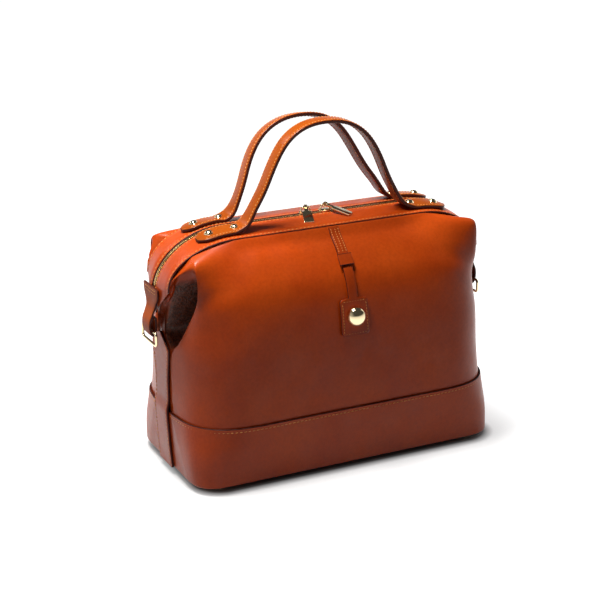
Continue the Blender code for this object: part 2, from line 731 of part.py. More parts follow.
def make_feet(sole, board):
    """Five flattened domes, each with a shank through sole and stiffener and a washer above."""
    grip = BOARD_TOP + GAP
    dome = [(0.0, grip + FOOT_WASHER_THICKNESS), (FOOT_WASHER_RADIUS, grip + FOOT_WASHER_THICKNESS),
            (FOOT_WASHER_RADIUS, grip), (FOOT_SHANK_RADIUS, grip),
            (FOOT_SHANK_RADIUS, FOOT_HEIGHT - GAP), (FOOT_RADIUS, FOOT_HEIGHT - GAP)]
    for k in range(FOOT_DOME_STEPS + 1):
        angle = math.pi / 2 * k / FOOT_DOME_STEPS
        radius = FOOT_FLAT_RADIUS + (FOOT_RADIUS - FOOT_FLAT_RADIUS) * math.cos(angle)
        dome.append((radius, (FOOT_HEIGHT - GAP - FOOT_RIM) * (1 - math.sin(angle))))
    dome.append((0.0, 0.0))
    cutters = []
    for name, place in foot_places().items():
        turned(name, dome, BRASS, FOOT_SIDES).location = place
        centre = place + Vector((0, 0, BOARD_TOP))
        cutters.append(cylinder("hole", FOOT_SHANK_RADIUS + GAP, BOARD_TOP * 2, centre,
                                Vector((0, 0, 1)), BRASS, FOOT_SIDES))
    holes = joined("foot_holes", cutters, BRASS)
    boolean(sole, holes, "DIFFERENCE")
    boolean(board, holes, "DIFFERENCE")


def rounded_row(half_x, half_y, corner, height):
    """A rounded rectangle as a ring of points."""
    ring = []
    for quarter, (i, j) in enumerate(((1, 1), (-1, 1), (-1, -1), (1, -1))):
        for k in range(LINING_SIDES_PER_CORNER + 1):
            angle = (quarter + k / LINING_SIDES_PER_CORNER) * math.pi / 2
            ring.append(Vector((i * (half_x - corner) + corner * math.cos(angle),
                                j * (half_y - corner) + corner * math.sin(angle), height)))
    return ring


def make_lining():
    """The lining, open at its mouth under the zip."""
    floor = BOARD_TOP + GAP + FOOT_WASHER_THICKNESS + GAP
    mouth = TOP_HEIGHT_AT_EDGE - TOP_LEATHER - LINING_MOUTH_DROP
    shape = bmesh.new()
    rings = []
    for x_share, y_share, z_share in LINING_SHARES:
        half_x = HALF_LENGTH * x_share - LINING_MARGIN
        half_y = HALF_DEPTH * y_share - LINING_MARGIN
        corner = half_y * LINING_CORNER_SHARE
        ring = rounded_row(half_x, half_y, corner, blend(floor, mouth, z_share))
        rings.append([shape.verts.new(p) for p in ring])
    count = len(rings[0])
    for low, high in zip(rings, rings[1:]):
        for k in range(count):
            shape.faces.new((low[k], low[(k + 1) % count], high[(k + 1) % count], high[k]))
    shape.faces.new(rings[0][::-1])
    mesh = bpy.data.meshes.new("lining")
    shape.to_mesh(mesh)
    shape.free()
    thicken(add_object("lining", mesh, LINING_BEIGE), LINING_CLOTH)


def top_rows():
    """The front top panel's outer face, rows from its sewn edge to the zip."""
    rows = []
    for j in range(TOP_ACROSS_STEPS + 1):
        across = 1 - j / TOP_ACROSS_STEPS
        half = [top_point(*key, across) for key in reversed(top_keys())]
        rows.append(half + [mirrored(p, in_x=True) for p in reversed(half[:-1])])
    return rows


def rivet_places():
    """The outer face and normal of the top under each handle rivet."""
    places = {}
    for which, x in (("inner", RIVET_INNER_X), ("outer", RIVET_OUTER_X)):
        point, normal = top_under(x, HANDLE_Y)
        for end, in_x in (("left", False), ("right", True)):
            for side, in_y in (("front", False), ("rear", True)):
                places[f"{side}_{end}_{which}_rivet"] = (mirrored(point, in_x, in_y),
                                                         mirrored(normal, in_x, in_y))
    return places


def make_top():
    """The two top panels, with holes for the handle rivets."""
    rows = top_rows()
    panels = []
    for name, in_y in (("front_top_panel", False), ("rear_top_panel", True)):
        placed = [[mirrored(p, in_y=in_y) for p in row] for row in rows]
        if in_y:
            placed = [row[::-1] for row in placed]
        panels.append(thicken(open_grid(name, placed, TAN), TOP_LEATHER))
    return panels


def zip_line(y, drop, end_height):
    """A line along the zip at a distance from its middle, below the front top panel's outer
    face, from the left end to the right. Each place has the normal of the panel there."""
    half = []
    for key in top_keys():
        across = across_share(y)
        point, normal = top_point(*key, across), top_normal(*key, across)
        half.append((point - normal * drop, normal))
    half = [(p, n) for p, n in half if p.z > end_height]
    right = [(mirrored(p, in_x=True), mirrored(n, in_x=True)) for p, n in half[1:]]
    return half[::-1] + right


def make_zip():
    """Tape and teeth of each side. The teeth of the two sides stand between each other."""
    end_height = TAB_TOP_HEIGHT - ZIP_TAIL
    drop = TOP_LEATHER + GAP
    lines = [[p for p, _ in zip_line(y, drop, end_height)] for y in (TAPE_HALF_WIDTH, TAPE_EDGE)]
    for name, in_y in (("front_zip_tape", False), ("rear_zip_tape", True)):
        placed = [[mirrored(p, in_y=in_y) for p in line] for line in lines]
        if in_y:
            placed = [line[::-1] for line in placed]
        thicken(open_grid(name, placed, TAPE_BROWN), TAPE_THICKNESS)
    line = []
    for point, normal in zip_line(0.0, TOP_LEATHER, end_height + ZIP_TAIL):
        line.append((point, Vector((normal.x, 0, normal.z)).normalized()))
    for side, sign, shift in (("front", -1, 0.0), ("rear", 1, 0.5)):
        make_teeth(side + "_zip_teeth", line, sign, shift)


def make_teeth(name, line, sign, shift):
    """A comb along the zip: a bead with a tooth at each pitch. The two sides' combs are half
    a pitch apart, so that their teeth stand between each other."""
    marks = [0.0]
    for (near, _), (far, _) in zip(line, line[1:]):
        marks.append(marks[-1] + (far - near).length)
    count = int((marks[-1] - TOOTH_PITCH) / TOOTH_PITCH)
    first = (marks[-1] - count * TOOTH_PITCH) / 2
    starts = [first + (k + shift) * TOOTH_PITCH for k in range(count)]
    stations = sorted(marks + starts + [start + TOOTH_LENGTH for start in starts])
    outer = sign * (ZIP_SLOT_HALF - TOOTH_SLOT_CLEARANCE)
    inner = sign * (abs(outer) - BEAD_WIDTH)
    tip = -sign * TOOTH_REACH
    shape = bmesh.new()

    def column(at, y):
        k = max(i for i, mark in enumerate(marks[:-1]) if mark <= at)
        t = (at - marks[k]) / (marks[k + 1] - marks[k])
        place, normal = blend(line[k][0], line[k + 1][0], t), blend(line[k][1], line[k + 1][1], t)
        low = Vector((place.x, y, place.z))
        return shape.verts.new(low), shape.verts.new(low + normal * TOOTH_HEIGHT)

    spine = [(column(at, outer), column(at, inner)) for at in stations]

    def block(near_edge, far_edge, near_other, far_other):
        for low in (0, 1):
            shape.faces.new((near_edge[low], far_edge[low], far_other[low], near_other[low]))

    def wall(near, far):
        shape.faces.new((near[0], far[0], far[1], near[1]))

    ends = None
    for k in range(len(stations) - 1):
        (near_out, near_in), (far_out, far_in) = spine[k], spine[k + 1]
        block(near_out, far_out, near_in, far_in)
        wall(near_out, far_out)
        middle = (stations[k] + stations[k + 1]) / 2
        if not any(start < middle < start + TOOTH_LENGTH for start in starts):
            wall(near_in, far_in)
            if ends:
                wall(ends, near_in)
            ends = None
            continue
        if not ends:
            ends = column(stations[k], tip)
            wall(near_in, ends)
        next_ends = column(stations[k + 1], tip)
        block(near_in, far_in, ends, next_ends)
        wall(ends, next_ends)
        ends = next_ends
    for edge_out, edge_in in (spine[0], spine[-1]):
        wall(edge_out, edge_in)
    bmesh.ops.recalc_face_normals(shape, faces=shape.faces)
    bmesh.ops.dissolve_limit(shape, angle_limit=FLAT_EDGE, verts=shape.verts,
                             edges=shape.edges)
    add_object(name, mesh_from(shape, name), BRASS)


def make_slider(name, x, sign):
    """A slider and the bail that its puller hangs from. Sign is -1 on the left."""
    bottom = TOP_HEIGHT_AT_ZIP + SLIDER_LIFT
    half = SLIDER_LENGTH / 2
    outline = [
        (x - sign * half, -SLIDER_HALF_WIDTH), (x - sign * half, SLIDER_HALF_WIDTH),
        (x, SLIDER_HALF_WIDTH), (x + sign * half, SLIDER_NOSE_HALF_WIDTH),
        (x + sign * half, -SLIDER_NOSE_HALF_WIDTH), (x, -SLIDER_HALF_WIDTH),
    ]
    plate = flat_outline(name + "_zip_slider", outline, bottom, SLIDER_THICKNESS, BRASS)
    bar = bottom + SLIDER_THICKNESS + BAIL_RISE
    arch = [
        (x - BAIL_HALF_LENGTH, 0, bottom + SLIDER_THICKNESS / 2),
        (x - BAIL_HALF_LENGTH, 0, bar - BAIL_RADIUS),
        (x - BAIL_HALF_LENGTH + BAIL_RADIUS, 0, bar),
        (x + BAIL_HALF_LENGTH - BAIL_RADIUS, 0, bar),
        (x + BAIL_HALF_LENGTH, 0, bar - BAIL_RADIUS),
        (x + BAIL_HALF_LENGTH, 0, bottom + SLIDER_THICKNESS / 2),
    ]
    boolean(plate, wire(name + "_bail", arch, BAIL_RADIUS, BRASS), "UNION")
    pivoted(plate, Vector((x, 0, bottom)))
    return plate, Vector((x, 0, bar))


def make_puller(name, slider, pivot, yaw):
    """A puller: a knuckle round the slider's bail, a neck and a flat tag."""
    level = Vector((math.sin(yaw), -math.cos(yaw), 0))
    length = PULLER_NECK_LENGTH + PULLER_TAG_LENGTH
    corner = level * length + Vector((0, 1, 0)) * abs(math.sin(yaw)) * PULLER_TAG_WIDTH / 2
    rest, _ = top_under(0.0, -corner.y)
    droop = math.asin((pivot.z - rest.z - PULLER_THICKNESS / 2 - GAP) / length)
    heading = level * math.cos(droop) - Vector((0, 0, math.sin(droop)))
    across = heading.cross(Vector((0, 0, 1))).normalized()
    normal = across.cross(heading).normalized()
    start = BAIL_RADIUS + BAR_PLAY
    stations = [
        (start, PULLER_NECK_WIDTH / 2), (PULLER_NECK_LENGTH - PULLER_CORNER, PULLER_NECK_WIDTH / 2),
        (PULLER_NECK_LENGTH, PULLER_TAG_WIDTH / 2 - PULLER_CORNER),
        (PULLER_NECK_LENGTH + PULLER_CORNER, PULLER_TAG_WIDTH / 2),
        (length - PULLER_CORNER, PULLER_TAG_WIDTH / 2),
        (length, PULLER_TAG_WIDTH / 2 - PULLER_CORNER),
    ]
    sections = [(pivot + heading * s - normal * (PULLER_THICKNESS / 2), across, normal, w,
                 PULLER_THICKNESS) for s, w in stations]
    tag = strap(name + "_zip_puller", sections, BRASS)
    knuckle = cylinder(name + "_knuckle", KNUCKLE_RADIUS, KNUCKLE_LENGTH, pivot,
                       Vector((1, 0, 0)), BRASS, KNUCKLE_SIDES)
    bore = cylinder(name + "_bore", BAIL_RADIUS + BAR_PLAY, KNUCKLE_LENGTH + 2 * OVERRUN, pivot,
                    Vector((1, 0, 0)), BRASS, KNUCKLE_SIDES)
    boolean(tag, knuckle, "UNION")
    boolean(tag, bore, "DIFFERENCE")
    carried(pivoted(tag, pivot), slider)


def hinge_height():
    """Height of a handle's hinge line above the table."""
    return stub_top() + ARCH_WIDTH / 2 + GAP


def stub_top():
    point, _ = top_under(ANCHOR_LIFT_X, HANDLE_Y)
    return point.z + GAP + ANCHOR_LEATHER + STUB_RISE


def anchor_sections():
    """The left front anchor, from its rounded tip, along the top and up to the stub's top."""
    sections = []
    radius = ANCHOR_WIDTH / 2
    xs = [ANCHOR_TIP_X - radius * s for s in ANCHOR_TIP_SHARES]
    widths = [radius * max(math.sqrt(1 - (1 - s) ** 2), ANCHOR_TIP_WIDTH_SHARE)
              for s in ANCHOR_TIP_SHARES]
    full = xs[-1]
    for k in range(1, ANCHOR_FLAT_STEPS + 1):
        xs.append(blend(full, ANCHOR_LIFT_X, k / ANCHOR_FLAT_STEPS))
        widths.append(radius)
    for x, width in zip(xs, widths):
        point, normal = top_under(x, HANDLE_Y)
        across = normal.cross(Vector((1, 0, 0))).normalized()
        place = point + normal * GAP
        sections.append((place, across, normal, width, ANCHOR_LEATHER))
    start, first_across, first_normal, _, _ = sections[-1]
    run = STUB_RUN + ANCHOR_LEATHER / 2
    for k in range(1, STUB_STEPS + 1):
        angle = STUB_BEND * k / STUB_STEPS
        share = math.sin(angle) / math.sin(STUB_BEND)
        rise = (1 - math.cos(angle)) / (1 - math.cos(STUB_BEND))
        place = start + Vector((run * share, 0, (stub_top() - start.z) * rise))
        turn = Vector((-math.sin(angle), 0, math.cos(angle)))
        if k == STUB_STEPS:
            turn = Vector((-1, 0, 0))
        level = min(1.0, k / 2)
        sections.append((place, blend(first_across, Vector((0, 1, 0)), level).normalized(),
                         blend(first_normal, turn, level).normalized(),
                         blend(radius, ARCH_WIDTH / 2, k / STUB_STEPS), ANCHOR_LEATHER))
    return sections


def make_handle(side, in_y, lean, arch_rise, sway):
    """One handle: two anchors and the arch, which leans about the hinge line."""
    base = anchor_sections()
    for end, in_x in (("left", False), ("right", True)):
        sections = [(mirrored(p, in_x, in_y), mirrored(a, in_x, in_y), mirrored(n, in_x, in_y),
                     w, t) for p, a, n, w, t in base]
        strap(f"{side}_handle_{end}_anchor", sections, STRAP_TAN)
    hinge = Vector((0, HANDLE_Y if in_y else -HANDLE_Y, hinge_height()))
    foot = ARCH_FOOT_INSET - STUB_X
    line = [Vector((foot, 0, 0)), Vector((foot + ARCH_FOOT_LEAN, 0, arch_rise * ARCH_FOOT_RISE_SHARE))]
    line += [Vector((-STUB_X * x, 0, arch_rise * z)) for x, z in ARCH_SHARES]
    line += [mirrored(p, in_x=True) for p in reversed(line[:-1])]
    for place in line:
        place.x += sway * math.sin(math.pi * place.z / arch_rise)
    sections = []
    half = ARCH_WIDTH / 2
    first = (line[1] - line[0]).normalized()
    for share in ARCH_END_SHARES:
        width = half * math.sqrt(1 - share * share)
        sections.append((line[0] - first * half * share, first, width))
    for k, place in enumerate(line):
        before, after = line[max(k - 1, 0)], line[min(k + 1, len(line) - 1)]
        sections.append((place, (after - before).normalized(), half))
    last = (line[-1] - line[-2]).normalized()
    for share in reversed(ARCH_END_SHARES):
        width = half * math.sqrt(1 - share * share)
        sections.append((line[-1] + last * half * share, last, width))
    across = Vector((0, 1, 0))
    lofted = []
    for place, along, width in sections:
        normal = along.cross(across)
        back = place - normal * HANDLE_LEATHER / 2
        lofted.append((back, across, normal, width, HANDLE_LEATHER))
    arch = strap(side + "_handle", lofted, STRAP_TAN)
    arch.location = hinge
    arch.rotation_euler.x = lean


def make_rivets():
    """Eight handle rivets: cap, shank and inner washer, and the holes that they need."""
    cap_seat = GAP + ANCHOR_LEATHER + GAP
    under = -TOP_LEATHER - GAP
    profile = []
    for k in range(RIVET_CAP_STEPS + 1):
        angle = math.pi / 2 * k / RIVET_CAP_STEPS
        profile.append((RIVET_CAP_RADIUS * math.sin(angle),
                        cap_seat + RIVET_CAP_HEIGHT * math.cos(angle)))
    profile += [(RIVET_SHANK_RADIUS, cap_seat), (RIVET_SHANK_RADIUS, under),
                (RIVET_WASHER_RADIUS, under), (RIVET_WASHER_RADIUS, under - RIVET_WASHER_THICKNESS),
                (0.0, under - RIVET_WASHER_THICKNESS)]
    holes = []
    for name, (place, normal) in rivet_places().items():
        stand(turned(name, profile, BRASS, RIVET_SIDES), place, normal)
        holes.append(cylinder("hole", RIVET_SHANK_RADIUS + GAP, 2 * (cap_seat - under), place,
                              normal, BRASS, RIVET_SIDES))
    return joined("rivet_holes", holes, BRASS)


def strip_face(z):
    """How far out the face under an end strip lies: the band at the foot, the panel above."""
    shares = [share for _, share in PROFILE_SHARES]
    z_share = (z - PANEL_FOOT) / PANEL_SPAN
    edge = HALF_LENGTH
    for i in range(len(shares) - 1):
        if shares[i] <= z_share <= shares[i + 1]:
            t = (z_share - shares[i]) / (shares[i + 1] - shares[i])
            edge = HALF_LENGTH * blend(EDGE_SHARES[i][0], EDGE_SHARES[i + 1][0], t)
    if z_share < 0:
        edge = HALF_LENGTH * EDGE_SHARES[0][0]
    band_top = PANEL_FOOT + PANEL_SPAN * BAND_TOP_SHARES[-1]
    covered = 1 - smooth((z - band_top - GAP) / STRIP_STEP_RUN)
    return edge + (GAP + BAND_LEATHER) * covered + GAP


def make_end_strips():
    """The strap down the middle of each end, over the panels' and bands' edges."""
    bottom = SOLE_BOTTOM + BAND_LIP_CHAMFER
    rows = [PANEL_FOOT + PANEL_SPAN * share for _, share in PROFILE_SHARES]
    step = PANEL_FOOT + PANEL_SPAN * BAND_TOP_SHARES[-1] + GAP
    heights = [bottom, rows[0], rows[1]] + [step + STRIP_STEP_RUN * t for t in STRIP_STEP_SHARES]
    heights += [rows[3], (rows[3] + STRIP_SHOULDER_HEIGHT) / 2, STRIP_SHOULDER_HEIGHT]
    stations = []
    for z in heights:
        widening = smooth((z - rows[3]) / (STRIP_SHOULDER_HEIGHT - rows[3]))
        width = blend(STRIP_FOOT_HALF_WIDTH, STRIP_SHOULDER_HALF_WIDTH, widening)
        stations.append((z, width))
    stations.append((STRIP_POINT_HEIGHT, STRIP_POINT_HALF_WIDTH))
    for end, sign in (("left", -1), ("right", 1)):
        sections = [(Vector((sign * strip_face(z), 0, z)), Vector((0, 1, 0)),
                     Vector((sign, 0, 0)), w, STRIP_LEATHER) for z, w in stations]
        strap(end + "_end_strip", sections, TAN)


def loop_base():
    """How far out the back of an end tab lies."""
    return TOP_REACH_AT_ZIP + GAP


def make_end_tabs():
    """The tab over each end of the zip, whose strap turns back in a loop."""
    stations = [(out, TAB_LENGTH * up, narrow) for out, up, narrow in TAB_SHARES]
    stations += [(out, LOOP_EYE_HEIGHT * up, 1.0) for out, up in EYE_SHARES]
    line = [(Vector((-loop_base() - TAB_LEATHER / 2 - LOOP_REACH * out, 0,
                     LOOP_BOTTOM_HEIGHT + up)), narrow) for out, up, narrow in stations]
    for end, in_x in (("left", False), ("right", True)):
        sections = []
        for k, (place, narrow) in enumerate(line):
            before, after = line[max(k - 1, 0)][0], line[min(k + 1, len(line) - 1)][0]
            along = (after - before).normalized()
            normal = Vector((0, 1, 0)).cross(along)
            back = place - normal * TAB_LEATHER / 2
            width = blend(TAB_HALF_WIDTH, TAB_STRAP_HALF_WIDTH, narrow)
            sections.append((mirrored(back, in_x), Vector((0, 1, 0)), mirrored(normal, in_x),
                             width, TAB_LEATHER))
        strap(end + "_zip_tab", sections, STRAP_TAN)


def make_rings():
    """The rectangular wire ring that hangs in each tab's loop."""
    bar_x = loop_base() + TAB_LEATHER / 2 + LOOP_REACH * RING_BAR_OUT_SHARE
    bar_z = LOOP_BOTTOM_HEIGHT + TAB_LEATHER / 2 + RING_SEAT_PLAY + RING_WIRE_RADIUS
    corners = [(1, 0), (-1, 0), (-1, 1), (1, 1)]
    for end, sign in (("left", -1), ("right", 1)):
        points = []
        for n, (i, j) in enumerate(corners):
            for k in range(RING_CORNER_STEPS + 1):
                angle = (n + k / RING_CORNER_STEPS) * math.pi / 2
                y = i * (RING_HALF_WIDTH - RING_CORNER) + RING_CORNER * math.cos(angle)
                z = RING_CORNER * (math.sin(angle) - 1) - j * (RING_DROP - 2 * RING_CORNER)
                points.append(Vector((sign * bar_x, y, bar_z + z)))
        ring = wire(end + "_ring", points, RING_WIRE_RADIUS, BRASS, closed=True)
        pivoted(ring, Vector((sign * bar_x, 0, bar_z)))


def front_at(z):
    """The front panel's outer face in the middle plane at a height, and its normal."""
    rows = panel_rows()
    middle = len(rows[0]) // 2
    line = [row[middle] for row in rows]
    for a, b in zip(line, line[1:]):
        if a.z <= z <= b.z:
            along = (b - a).normalized()
            return blend(a, b, (z - a.z) / (b.z - a.z)), along
    return line[-1], (line[-1] - line[-2]).normalized()


def front_path(low, high, lift):
    """Stations on the front's middle line between two heights, lifted off the face. The
    panel's own rows are among them, so a strap lies on its facets."""
    rows = panel_rows()
    middle = len(rows[0]) // 2
    heights = [low] + [row[middle].z for row in rows if low < row[middle].z < high] + [high]
    places = []
    tangents = [front_at(z + sign * GAP)[1] for z in heights for sign in (-1, 1)]
    for k, z in enumerate(heights):
        along = (tangents[2 * k] + tangents[2 * k + 1]).normalized()
        normal = Vector((0, -along.z, along.y)).normalized()
        if normal.y > 0:
            normal.negate()
        bend = max(along.dot(tangents[2 * k]), 0.5)
        places.append((front_at(z)[0] + normal * lift / bend, normal))
    return places


def catch_outline():
    """The catch's stations from the bottom up: height and half width. The panel's rows are
    among them, so that the catch lies on its facets."""
    plate, neck = PLATE_WIDTH / 2, CATCH_WIDTH / 2
    stations = [
        (PLATE_BOTTOM_HEIGHT, plate - PLATE_CORNER),
        (PLATE_BOTTOM_HEIGHT + PLATE_CORNER, plate),
        (PLATE_TOP_HEIGHT - PLATE_CORNER, plate),
        (PLATE_TOP_HEIGHT, plate - PLATE_CORNER),
        (PLATE_TOP_HEIGHT + GAP, neck),
        (CATCH_TOP_HEIGHT, neck),
    ]
    for row in panel_rows():
        z = row[len(row) // 2].z
        if PLATE_BOTTOM_HEIGHT + PLATE_CORNER < z < CATCH_TOP_HEIGHT:
            stations.append((z, plate if z < PLATE_TOP_HEIGHT else neck))
    return sorted(stations)


def make_front_fastening():
    """The stitched strap, its keeper, and the catch that lifts off a press stud."""
    across = Vector((1, 0, 0))
    strap_top = PANEL_TOP - STRAP_TUCK - STRAP_LEATHER - GAP
    sections = [(p, across, n, STRAP_WIDTH / 2, STRAP_LEATHER)
                for p, n in front_path(KEEPER_BOTTOM_HEIGHT, strap_top, GAP)]
    strap("front_strap", sections, STRAP_TAN)
    lift = GAP + STRAP_LEATHER + GAP
    sections = [(p, across, n, KEEPER_WIDTH / 2, KEEPER_LEATHER)
                for p, n in front_path(KEEPER_BOTTOM_HEIGHT, KEEPER_TOP_HEIGHT, lift)]
    strap("strap_keeper", sections, STRAP_TAN)
    lift = GAP + STUD_FLANGE_THICKNESS + GAP
    sections = []
    for z, width in catch_outline():
        place, normal = front_path(z - GAP / 4, z + GAP / 4, lift)[0]
        sections.append((place, across, normal, width, CATCH_LEATHER))
    catch = strap("front_catch", sections, STRAP_TAN)
    place, normal = front_path(DOME_HEIGHT - GAP / 4, DOME_HEIGHT + GAP / 4, 0.0)[0]
    stud = [(0.0, GAP + STUD_FLANGE_THICKNESS + STUD_LENGTH),
            (STUD_RADIUS, GAP + STUD_FLANGE_THICKNESS + STUD_LENGTH),
            (STUD_RADIUS, GAP + STUD_FLANGE_THICKNESS),
            (STUD_FLANGE_RADIUS, GAP + STUD_FLANGE_THICKNESS), (STUD_FLANGE_RADIUS, GAP),
            (0.0, GAP)]
    stand(turned("press_stud", stud, BRASS, STUD_SIDES), place, normal)
    socket = cylinder("stud_socket", STUD_RADIUS + STUD_SOCKET_CLEARANCE,
                      2 * (STUD_LENGTH + GAP), place + normal * lift, normal, BRASS,
                      STUD_SIDES)
    boolean(catch, socket, "DIFFERENCE")
    end = front_path(CATCH_TOP_HEIGHT - GAP / 4, CATCH_TOP_HEIGHT, lift + CATCH_LEATHER / 2)[0][0]
    pivoted(catch, end - Vector((0, 0, CATCH_LEATHER / 2)))
    seat = lift + CATCH_LEATHER + GAP
    dome = []
    centre = seat + DOME_RADIUS * DOME_BACK_SHARE
    widest = math.acos(-DOME_BACK_SHARE)
    for k in range(DOME_STEPS + 1):
        angle = widest * k / DOME_STEPS
        dome.append((DOME_RADIUS * math.sin(angle), centre + DOME_RADIUS * math.cos(angle)))
    dome.append((0.0, seat))
    made = turned("catch_dome", dome, BRASS, DOME_SIDES)
    stand(made, place, normal)
    carried(made, catch)


def build():
    make_panels()
    sole, board = make_base()
    make_feet(sole, board)
    make_lining()
    top_panels = make_top()
    make_zip()
    make_puller("left", *make_slider("left", LEFT_SLIDER_X, -1), LEFT_PULLER_YAW)
    make_puller("right", *make_slider("right", RIGHT_SLIDER_X, 1), RIGHT_PULLER_YAW)
    make_handle("front", False, 0.0, FRONT_ARCH_RISE, FRONT_ARCH_SWAY)
    make_handle("rear", True, -REAR_HANDLE_LEAN, REAR_ARCH_RISE, REAR_ARCH_SWAY)
    holes = make_rivets()
    for item in top_panels:
        boolean(item, holes, "DIFFERENCE")
    for side in ("front", "rear"):
        for end in ("left", "right"):
            boolean(bpy.data.objects[f"{side}_handle_{end}_anchor"], holes, "DIFFERENCE")
    make_end_strips()
    make_end_tabs()
    make_rings()
    make_front_fastening()


build()
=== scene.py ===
"""Looks for the leather handbag: fine leather, stitching, metal, floor, light and camera."""

from math import asin, ceil, cos, hypot, pi, radians, sin

import bpy
import numpy as np
from mathutils import Matrix, Vector


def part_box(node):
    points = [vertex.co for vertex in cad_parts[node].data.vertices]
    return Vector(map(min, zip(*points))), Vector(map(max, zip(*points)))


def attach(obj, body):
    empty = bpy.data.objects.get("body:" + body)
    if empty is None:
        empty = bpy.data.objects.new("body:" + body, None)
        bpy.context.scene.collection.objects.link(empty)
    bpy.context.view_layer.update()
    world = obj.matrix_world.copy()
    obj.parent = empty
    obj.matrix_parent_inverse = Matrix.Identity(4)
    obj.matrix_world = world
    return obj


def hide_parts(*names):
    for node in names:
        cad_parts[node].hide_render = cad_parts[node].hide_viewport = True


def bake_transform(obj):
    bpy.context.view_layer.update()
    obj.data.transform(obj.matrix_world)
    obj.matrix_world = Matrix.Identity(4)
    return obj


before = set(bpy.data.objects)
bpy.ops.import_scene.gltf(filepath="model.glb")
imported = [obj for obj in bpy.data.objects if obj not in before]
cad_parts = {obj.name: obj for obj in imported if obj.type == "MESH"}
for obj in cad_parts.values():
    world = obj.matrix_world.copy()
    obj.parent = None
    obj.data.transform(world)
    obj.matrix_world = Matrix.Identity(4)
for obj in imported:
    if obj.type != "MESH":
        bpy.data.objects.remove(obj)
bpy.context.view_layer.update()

# Lengths are in millimetres up to Piece.grid, which turns them into metres. The studio at the
# end is in metres
MM = 0.001

# Sizes that repeat the model's
HALF_LENGTH, HALF_DEPTH = 149.5, 76.9
PANEL_FOOT, PANEL_TOP = 8.3, 212.9
PLEAT_DEPTH, MEETING_GAP = 27, 0.8
ZIP_HALF, TOP_HALF_WIDTH, TOP_LAP = 3.5, 33, 3.5
# The top panel's flat half, height, drop, reach and lowest point, at the zip and at its edge
TOP_FLAT = (88, 90)
TOP_HEIGHT = (219, 215.5)
TOP_DROP = (54, 37.5)
TOP_REACH = (156.5, 154.8)
TOP_END = (150, 176.5)
HANDLE_Y, HINGE_Z = 17, 234.5
REAR_LEAN = radians(12)

# The signs of y and of x. The rear is the front turned round
SIDES = (("front", -1), ("rear", 1))
ENDS = (("left", -1), ("right", 1))

# A body panel's rows from foot to seam, in shares of half length, half depth and height.
# Profile: the middle line's depth and height
PROFILE = [(0.925, 0), (0.968, 0.106), (1, 0.252), (1, 0.408), (0.995, 0.535), (0.965, 0.643),
           (0.91, 0.74), (0.827, 0.823), (0.718, 0.887), (0.609, 0.936), (0.5, 0.972)]
# The pleat's outer fold, its inner crease, and the edge at the end strip
FOLD = [(0.979, 0.6, 0), (0.99, 0.46, 0.106), (1, 0.27, 0.252), (1, 0.26, 0.39),
        (0.997, 0.27, 0.53), (0.983, 0.35, 0.575), (0.96, 0.39, 0.618), (0.933, 0.46, 0.682),
        (0.913, 0.54, 0.74), (0.908, 0.63, 0.815), (0.905, 0.6, 0.93)]
CREASE = [(0.979, 0.4, 0), (0.99, 0.31, 0.106), (1, 0.22, 0.252), (1, 0.215, 0.39),
          (1, 0.22, 0.52), (1, 0.19, 0.56), (0.995, 0.07, 0.61), (0.995, 0.13, 0.665),
          (0.995, 0.215, 0.73), (0.99, 0.31, 0.8), (0.98, 0.44, 0.885)]
EDGE = [(0.979, 0.17, 0), (0.99, 0.17, 0.106), (1, 0.17, 0.252), (1, 0.17, 0.39),
        (1, 0.15, 0.49), (1, 0.05, 0.55), (1, 0, 0.59), (1, 0, 0.64),
        (1, 0.08, 0.69), (1, 0.17, 0.735), (1, 0.27, 0.775)]
# What rounds the corner from the fold to the flat front, in length and depth
CORNER = [(0.979, 0.925), (1, 0.968), (0.985, 1), (0.94, 1), (0.93, 0.985), (0.91, 0.965),
          (0.905, 0.93), (0.9, 0.885), (0.89, 0.8), (0.875, 0.7), (0.86, 0.56)]
# The length at which the flat front starts. How deep the pleat is, with the three rows that lie
# under the top panel
STRAIGHT = [0.82, 0.74, 0.62, 0.62, 0.6, 0.56, 0.54, 0.54, 0.54, 0.54, 0.54]
PLEAT = [0, 0, 0, 0, 0, 0.25, 0.57, 0.82, 0.92, 0.85, 0.07, 0, 0, 0]
# How much painted shade and crumple the pleat's inside gets at a row: the rows, then the shares
PLEAT_SHADE = ((0, 3, 4, 5, 6, 9.45, 9.75, 10, 12),
               (0, 0, 0.3, 0.9, 1, 1, 0.1, 0, 0))
ARCH_RISE = {"front": 71.3, "rear": 68.5}
ARCH_SWAY = {"front": 1, "rear": -3}
# A handle's line where the anchor lifts off: x and height. Then half of its arch: x and a share
# of the rise
LIFT = [(81.5, 219.2), (79.4, 219.6), (77.6, 220.4), (75.8, 222), (74.3, 224.2), (73.5, 226.2)]
ARCH = [(69.5, 0), (64.5, 0.11), (59.2, 0.25), (54.2, 0.42), (48.1, 0.595), (41.2, 0.75),
        (31.6, 0.88), (17.3, 0.975), (0, 1)]


# Small geometry helpers

def vec(*values):
    return np.array(values, float)


def unit(v):
    return v / max(np.linalg.norm(v), 1e-12)


def blend(a, b, t):
    return a + (b - a) * t


def smooth(t):
    t = np.clip(t, 0, 1)
    return t * t * (3 - 2 * t)


def flipped(points, end=-1, side=-1):
    """The front left's points, at the end and side of these signs."""
    return np.asarray(points, float) * vec(-end, -side, 1)


def catmull(points, steps):
    """A smooth curve through points, with so many samples in each span."""
    p = np.asarray(points, float)
    p = np.concatenate([[2 * p[0] - p[1]], p, [2 * p[-1] - p[-2]]])
    out = []
    for a, b, c, d in zip(p, p[1:], p[2:], p[3:]):
        for s in range(steps):
            t = s / steps
            out.append(b + 0.5 * t * (c - a + t * (2 * a - 5 * b + 4 * c - d
                                                   + t * (3 * b - a - 3 * c + d))))
    out.append(p[-2])
    return np.array(out)


